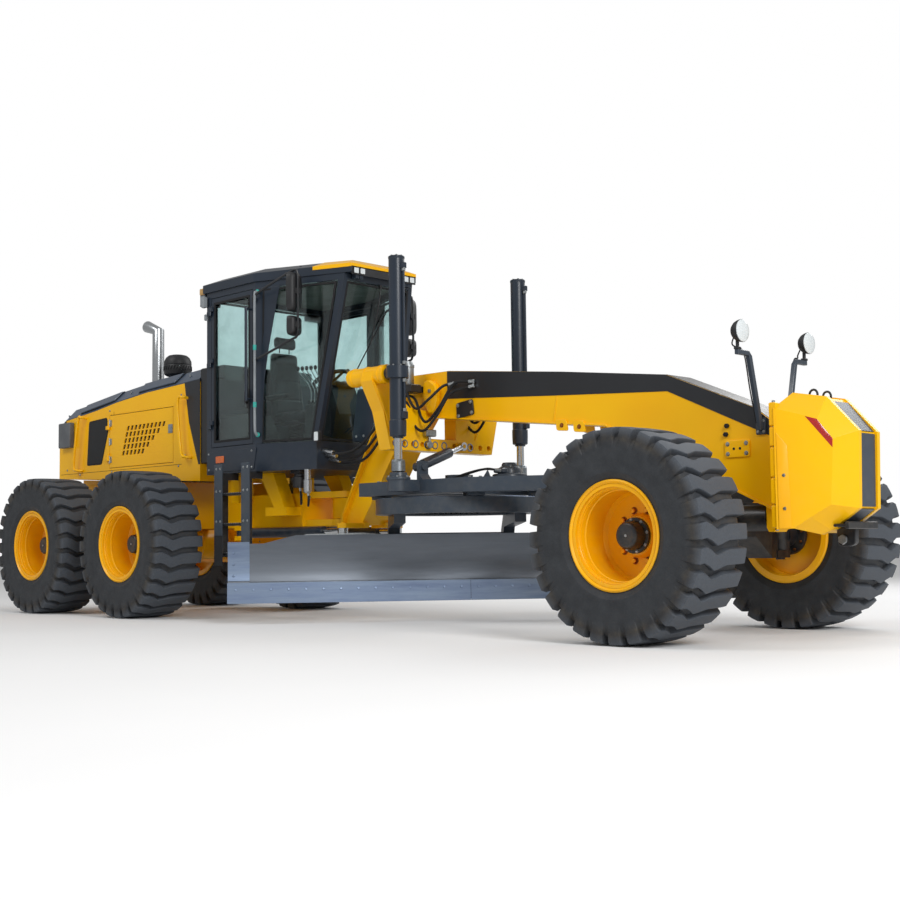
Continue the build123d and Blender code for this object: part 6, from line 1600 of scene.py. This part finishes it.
# a shoe's corners: along the ring, outwards
SHOE = [(-0.085, -0.07), (0.085, -0.07), (0.070, 0.055), (-0.070, 0.055)]
shoes, shoe_bolts = [], []
circle_c = np.array([circle_middle[0], circle_middle[1], 0]) + SHIFT
for a in (35, 145, 215, 325):
    d = np.array([cos(radians(a)), sin(radians(a)), 0])
    m = circle_c + d * 0.700
    cross = np.array([-d[1], d[0], 0])
    corners = [(m + cross * u + d * v)[:2] for u, v in SHOE]
    shoes.append(plate(corners, "z", 1.064, 1.092, 0.003))
    for u in (-0.045, 0.045):
        q = m + cross * u + [0, 0, 1.2]
        shoe_bolts.append(rod(q + [0, 0, 0.004], q + [0, 0, 0.024], 0.014, 6, 0.002))
place("circle_shoes", shoes, slate, "drawbar")
place("circle_shoe_bolts", shoe_bolts, zinc, "drawbar")

# %% Circle teeth and drive
TOOTH_COUNT = 72
half = pi / TOOTH_COUNT
tooth = []
for a in 2 * pi * np.arange(TOOTH_COUNT) / TOOTH_COUNT:
    # broad at the root radius, narrow at the tip: (radius, angle) of the four corners
    quad = [(0.592, a - 0.95 * half), (0.562, a - 0.42 * half), (0.562, a + 0.42 * half),
            (0.592, a + 0.95 * half)]
    low = np.array([(r * cos(t), r * sin(t), 0.945) for r, t in quad]) + circle_c
    p = np.vstack([low, low + [0, 0, 0.090]])
    tooth.append((p, [[0, 1, 2, 3], [4, 7, 6, 5], [0, 4, 5, 1], [1, 5, 6, 2], [2, 6, 7, 3]]))
place("circle_teeth", tooth, navy_dark, "circle", sharp=20)
wear = lathe([(1.0602, 0.60), (1.0632, 0.605), (1.0632, 0.712), (1.0602, 0.716)], circle_c, "z", 96)
place("circle_wear_ring", wear, steel_edge, "circle")
drive_c = at((-2.170, 0.120, 0))
drive = [lathe([(1.2052, 0.0), (1.2052, 0.150), (1.216, 0.152), (1.226, 0.148), (1.250, 0.146),
                (1.257, 0.136), (1.262, 0.100), (1.300, 0.096), (1.312, 0.088),
                (1.318, 0.070), (1.340, 0.066), (1.352, 0.058), (1.352, 0.0)], drive_c, "z", 48),
         brick(drive_c + [-0.050, -0.145, 1.262], drive_c + [0.050, 0.020, 1.302], 0.008)]
drive_piece = place("circle_drive_case", drive, slate, "drawbar")
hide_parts("circle_drive")
drive_bolts = join(bolt_ring(drive_c, "z", 0.136, 1.225, 1.236, 0.010, 12),
                   bolt_ring(drive_c, "z", 0.078, 1.312, 1.322, 0.007, 6, 0.3))
place("circle_drive_bolts", drive_bolts, zinc, "drawbar")
runs = [[(-2.18, -0.020, 1.285), (-2.28, -0.055, 1.300), (-2.46, -0.075, 1.270), (-2.66, -0.080, 1.222)],
        [(-2.16, -0.030, 1.285), (-2.27, -0.085, 1.296), (-2.46, -0.105, 1.268), (-2.66, -0.110, 1.222)]]
lay_hoses("circle_drive_hoses", runs, "drawbar", 0.010)
print("drawbar and circle dressed")

# %% [markdown]
# ## The moldboard
# The cutting edge is bolted on in two lengths, and an end bit closes each end.

# %% Bolts, end bits and the back plate
edge_low, edge_high = -1.99, 2.28               # ends of the blade along itself, from the circle's middle
BIT = 0.19                                      # length of an end bit
edge_bolts = []
edge_ahead = -0.410 + 0.010 / 3                 # the edge's face where its bolts sit
for along in np.arange(edge_low + 0.075, edge_high - 0.02, 0.152):
    base, out = swung([[edge_ahead - 0.002, along, 0.300], [edge_ahead + 0.0055, along, 0.3015]])
    edge_bolts.append(rod(base, out, 0.0125, 10, 0.003))
place("edge_bolts", edge_bolts, steel_edge, "moldboard")
# the hollow front of the blade: height, place ahead of the circle's middle
BLADE_CURVE = [(0.29, -0.469), (0.38, -0.504), (0.41, -0.511), (0.44, -0.516), (0.53, -0.521), (0.56, -0.518),
               (0.59, -0.514), (0.62, -0.508), (0.65, -0.500), (0.68, -0.490), (0.71, -0.478), (0.74, -0.453)]


def blade_skin(l0, l1, lift, z0=0.375, z1=0.715):
    """A sheet on the blade's hollow front: the same curve moved out by lift."""
    z = np.linspace(z0, z1, 12)
    front = np.interp(z, *zip(*BLADE_CURVE))
    out = np.array([[(a + lift, l, h) for a, h in zip(front, z)] for l in (l0, l1)])
    back = np.array([[(a + lift - 0.006, l, h) for a, h in zip(front, z)] for l in (l0, l1)])[:, ::-1]
    return capped(swung(np.concatenate([out, back], axis=1)))


bits = [blade_skin(l + 0.001, l + BIT, 0.0045) for l in (edge_low, edge_high - BIT)]
place("end_bits", bits, steel_edge, "moldboard", sharp=20)
place("blade_front", blade_skin(edge_low + BIT, edge_high - BIT, 0.0030, 0.366, 0.70), blade_steel,
      "moldboard", sharp=20)
bit_bolts = []
for l in (edge_low + 0.05, edge_high - 0.05):
    for z, front in ((0.42, -0.513), (0.52, -0.521), (0.62, -0.508)):
        base, out = swung([[front, l, z], [front + 0.011, l, z]])
        bit_bolts.append(rod(base, out, 0.012, 10, 0.003))
place("end_bit_bolts", bit_bolts, steel_edge, "moldboard")
split = swung([[-0.4002, 0.145, 0.195], [-0.4100, 0.145, 0.358]])
place("edge_split", rod(split[0], split[1], 0.0016, 6, 0.0), seal_rubber, "moldboard")
back_outline = [(-1.44, 0.735), (-1.30, 0.778), (-0.80, 0.786), (-0.62, 0.770), (-0.42, 0.735)]
faces = [swung([[ahead, l, z] for l, z in back_outline]) for ahead in (-0.498, -0.486)]
place("blade_back_plate", capped(np.array(faces)), zinc, "moldboard")
rails = [rod(*swung([[-0.585, -1.02, z], [-0.585, -0.99, z]]), 0.012, 12, 0.001) for z in (0.41, 0.62)]
place("slide_rail_bolts", rails, zinc, "moldboard")
print("blade dressed")

# %% [markdown]
# ## Under the cab, ladders and running gear
# Three hoses leave the rear half at the cab's corner and end on the front half's leg; they ride on
# neither half and stay where they are drawn. The rest is bolted to one half and rides on it.

# %% Hoses and couplings at the cab's front corner
ACROSS_JOINT = (REAR, FRONT, at((-3.82, -0.40, 1.50)).tolist(), at((-3.42, -0.25, 1.64)).tolist())
runs = [[(-3.90, -0.40, 1.50), (-3.74, -0.36, 1.44), (-3.56, -0.30, 1.50), (-3.36, -0.235, 1.72)],
        [(-3.90, -0.36, 1.46), (-3.74, -0.33, 1.40), (-3.54, -0.27, 1.46), (-3.33, -0.232, 1.68)],
        [(-3.90, -0.44, 1.53), (-3.72, -0.40, 1.50), (-3.56, -0.33, 1.56), (-3.38, -0.236, 1.78)]]
lay_hoses("cab_corner_hoses", runs, ACROSS_JOINT, 0.013)
couplings = [rod(at((-3.93, y, z)), at((-3.80, y + 0.01, z - 0.025)), 0.021, 16, 0.003)
             for y, z in ((-0.41, 1.505), (-0.37, 1.465), (-0.45, 1.535))]
place("hose_couplings", couplings, stainless, REAR)
lamp_body = plate(rounded(oblong(-3.93, -3.86, 1.610, 1.705), 0.012), "y", -0.560, -0.520, 0.006)
lay("work_lamp_low", lamp_body, black_plastic, REAR)
lamp_lens = plate(rounded(oblong(-3.922, -3.868, 1.618, 1.697), 0.010), "y", -0.563, -0.5595, 0.001)
lay("work_lamp_low_lens", lamp_lens, clear_lens, REAR)
under = [lathe([(1.205, 0.0), (1.205, 0.055), (1.215, 0.064), (1.300, 0.064), (1.312, 0.050),
                (1.335, 0.046), (1.340, 0.0)], at((-4.18, -0.52, 0)), "z", 28),
         brick(at((-4.245, -0.575, 1.335)), at((-4.115, -0.465, 1.366)), 0.004)]
place("air_dryer", under, black_plastic, REAR)
cup = lathe([(1.150, 0.0), (1.150, 0.024), (1.165, 0.036), (1.270, 0.038), (1.276, 0.030), (1.366, 0.030)],
            at((-4.02, -0.56, 0)), "z", 24)
place("filter_cup", cup, stainless, REAR)
runs = [[(-4.02, -0.550, 1.155), (-4.03, -0.54, 1.09), (-4.12, -0.47, 1.04), (-4.24, -0.36, 1.12)],
        [(-4.18, -0.515, 1.205), (-4.18, -0.50, 1.10), (-4.26, -0.44, 1.06), (-4.36, -0.36, 1.14)]]
lay_hoses("under_cab_hoses", runs, REAR, 0.010)

# %% Ladders
treads, studs = [], []
for s in (-1, 1):
    y0, y1 = sorted((s * 0.778, s * 0.895))
    for z in (0.600, 0.870, 1.150):
        treads.append(brick(at((-4.900, y0, z + 0.013)), at((-4.590, y1, z + 0.019)), 0.001))
        for x in np.arange(-4.88, -4.60, 0.035):
            studs.append(brick(at((x, y0 + 0.012, z + 0.019)), at((x + 0.016, y1 - 0.012, z + 0.0245)), 0.0))
place("ladder_treads", treads, navy_dark, REAR)
place("ladder_grip", studs, zinc, REAR)
flaps = [plate([(-4.965, 0.500), (-4.835, 0.500), (-4.840, 0.780), (-4.960, 0.780)], "y", s * 0.905,
               s * 0.911, 0.001) for s in (-1, 1)]
lay("ladder_flaps", flaps, seal_rubber, REAR)
legs = [brick(at((x, s * 0.893, 0.59)), at((x + 0.125, s * 0.902, 1.44)), 0.003) for s in (-1, 1)
        for x in (-4.975, -4.555)]
place("ladder_side_plates", legs, slate, REAR)
spots = [(x, z) for x in (-4.94, -4.88, -4.52, -4.46) for z in (0.64, 0.91, 1.19, 1.40)]
lay("ladder_bolts", side_bolts(spots, 0.902, 0.009), zinc, REAR)

# %% Tandem cases
for name, s in SIDES.items():
    case_low, case_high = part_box(f"tandem_case_{name}")
    hub_y = case_high[1] if s < 0 else case_low[1]
    middles = [np.array([x, 0.0, case_high[2] - 0.19]) for x in (-3.95, -2.35)]
    cover = [rod(m + [0, hub_y, 0], m + [0, hub_y - s * 0.006, 0], 0.150, 40, 0.002) for m in middles]
    # the hub covers and the lid take the darker yellow: painted shade under the frame
    place(f"tandem_covers_{name}", cover, yellow_painted_shade, REAR)
    ring = [bolt_ring(m, "y", 0.13, hub_y, hub_y - s * 0.016, 0.009, 10) for m in middles]
    place(f"tandem_cover_bolts_{name}", ring, zinc, REAR)
    lid = brick((-3.28, case_low[1] + 0.05, case_high[2]),
                (-3.02, case_high[1] - 0.05, case_high[2] + 0.012), 0.003)
    place(f"tandem_lid_{name}", lid, yellow_painted_shade, REAR)

# %% Front axle
ends = many(lathe([(-0.035, 0.0), (-0.035, 0.030), (-0.028, 0.036), (0.030, 0.036), (0.038, 0.028),
                   (0.038, 0.0)],
                  ORIGIN, "z", 24), at([(-0.248, -0.50, 0.603), (-0.248, 0.50, 0.603)]))
place("tie_rod_ends", ends, steel_cap, "tie_rod")
for name, s in SIDES.items():
    hub = np.array([axle_middle[0], 0.0, AXLE_Z])
    flange_y = axle_middle[1] + s * 0.865
    disc = lathe([(flange_y, 0.0), (flange_y, 0.150), (flange_y + s * 0.012, 0.155),
                  (flange_y + s * 0.030, 0.155), (flange_y + s * 0.034, 0.140),
                  (flange_y + s * 0.034, 0.0)], hub, "y", 40)
    place(f"knuckle_flange_{name}", disc, navy_dark, f"steering_knuckle_{name}")
    heads = bolt_ring(hub, "y", 0.128, flange_y, flange_y - s * 0.012, 0.011, 10, 0.2)
    place(f"knuckle_bolts_{name}", heads, copper, f"steering_knuckle_{name}")
print("running gear dressed")


# %% [markdown]
# ## The studio
# A pale floor, a white backdrop from the world, a soft key light from the camera's upper right, a weaker
# fill from its upper left and a light from behind. The world is plain white only for the camera and for
# views through glass. It is dimmer for everything else, so the lamps shape the machine.

# %% Floor
floor_mesh = bpy.data.meshes.new("floor")
floor_mesh.from_pydata([(-60, -60, 0), (60, -60, 0), (60, 60, 0), (-60, 60, 0)], [], [(0, 1, 2, 3)])
floor = bpy.data.objects.new("floor", floor_mesh)
bpy.context.scene.collection.objects.link(floor)
floor_paint, tree, where = start("studio_floor")
uneven = add(tree, "TexNoise", {"Vector": where, "Scale": 0.4, "Detail": 2.0, "Roughness": 0.55})
surfaced(floor_paint, {
    "Base Color": add(tree, "Mix", {0: uneven, 6: "#FAFAFA", 7: "#F4F4F4"}, 2, data_type="RGBA"),
    "Roughness": 0.9})
floor_mesh.materials.append(floor_paint)

# %% World
world = bpy.data.worlds.new("studio_world")
world.use_nodes = True
bpy.context.scene.world = world
sky = world.node_tree
sky.nodes.clear()
seen = add(sky, "Math", {0: add(sky, "LightPath", out="Is Camera Ray"),
                         1: add(sky, "LightPath", out="Is Transmission Ray")}, operation="MAXIMUM")
strength = add(sky, "MapRange", {0: seen, 3: 0.42, 4: 1.0})
add(sky, "OutputWorld", {"Surface": add(sky, "Background", {"Color": "#FFFFFF", "Strength": strength})})

# %% Lamps
def lamp(name, where_from, aim, size, power):
    """A square soft light that looks at a point."""
    light = bpy.data.lights.new(name, "AREA")
    light.size = size
    light.energy = power
    made = bpy.data.objects.new(name, light)
    bpy.context.scene.collection.objects.link(made)
    forward = np.array(aim, float) - np.array(where_from, float)
    forward /= np.linalg.norm(forward)
    side = np.cross(forward, [0, 0, 1])
    side /= np.linalg.norm(side)
    up = np.cross(side, forward)
    made.matrix_world = Matrix([[side[k], up[k], -forward[k], where_from[k]]
                                for k in range(3)] + [[0, 0, 0, 1]])
    return made


lamp("key", at([11.0, -5.5, 8.5]), at([-2.5, 0.0, 1.0]), 6.0, 1350)
lamp("fill", at([-8.0, -10.0, 12.0]), at([-4.0, 0.0, 1.2]), 5.0, 520)
lamp("rim", at([-2.0, 9.0, 8.0]), at([-3.0, 0.0, 1.0]), 6.0, 420)

# %% [markdown]
# The camera stands low, ahead of the right front wheel, and looks back along the machine. Its place,
# turn and lens were found by matching the wheels' centres and rims with the photograph.

# %% Camera
yaw, pitch, roll = radians(44.796), radians(4.079), radians(-0.710)
look = np.array([-sin(yaw) * cos(pitch), cos(yaw) * cos(pitch), sin(pitch)])
level = np.array([cos(yaw), sin(yaw), 0.0])
upright = np.cross(level, look)
across = cos(roll) * level + sin(roll) * upright
above = -sin(roll) * level + cos(roll) * upright
eye = at([5.347, -8.161, 0.669])
camera_data = bpy.data.cameras.new("camera")
camera_data.sensor_width = 36.0
camera_data.lens = 36.0 * 1329.2 / 900
camera_data.clip_end = 200.0
camera = bpy.data.objects.new("camera", camera_data)
bpy.context.scene.collection.objects.link(camera)
camera.matrix_world = Matrix([[across[k], above[k], -look[k], eye[k]] for k in range(3)] + [[0, 0, 0, 1]])
bpy.context.scene.camera = camera
bpy.context.scene.view_settings.view_transform = "Standard"

# %% Finish
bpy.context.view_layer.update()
triangles = sum(sum(len(p.vertices) - 2 for p in o.data.polygons) for o in bpy.data.objects
                if o.type == "MESH" and o.name not in frame["nodes"])
print("triangles in the added pieces:", triangles)
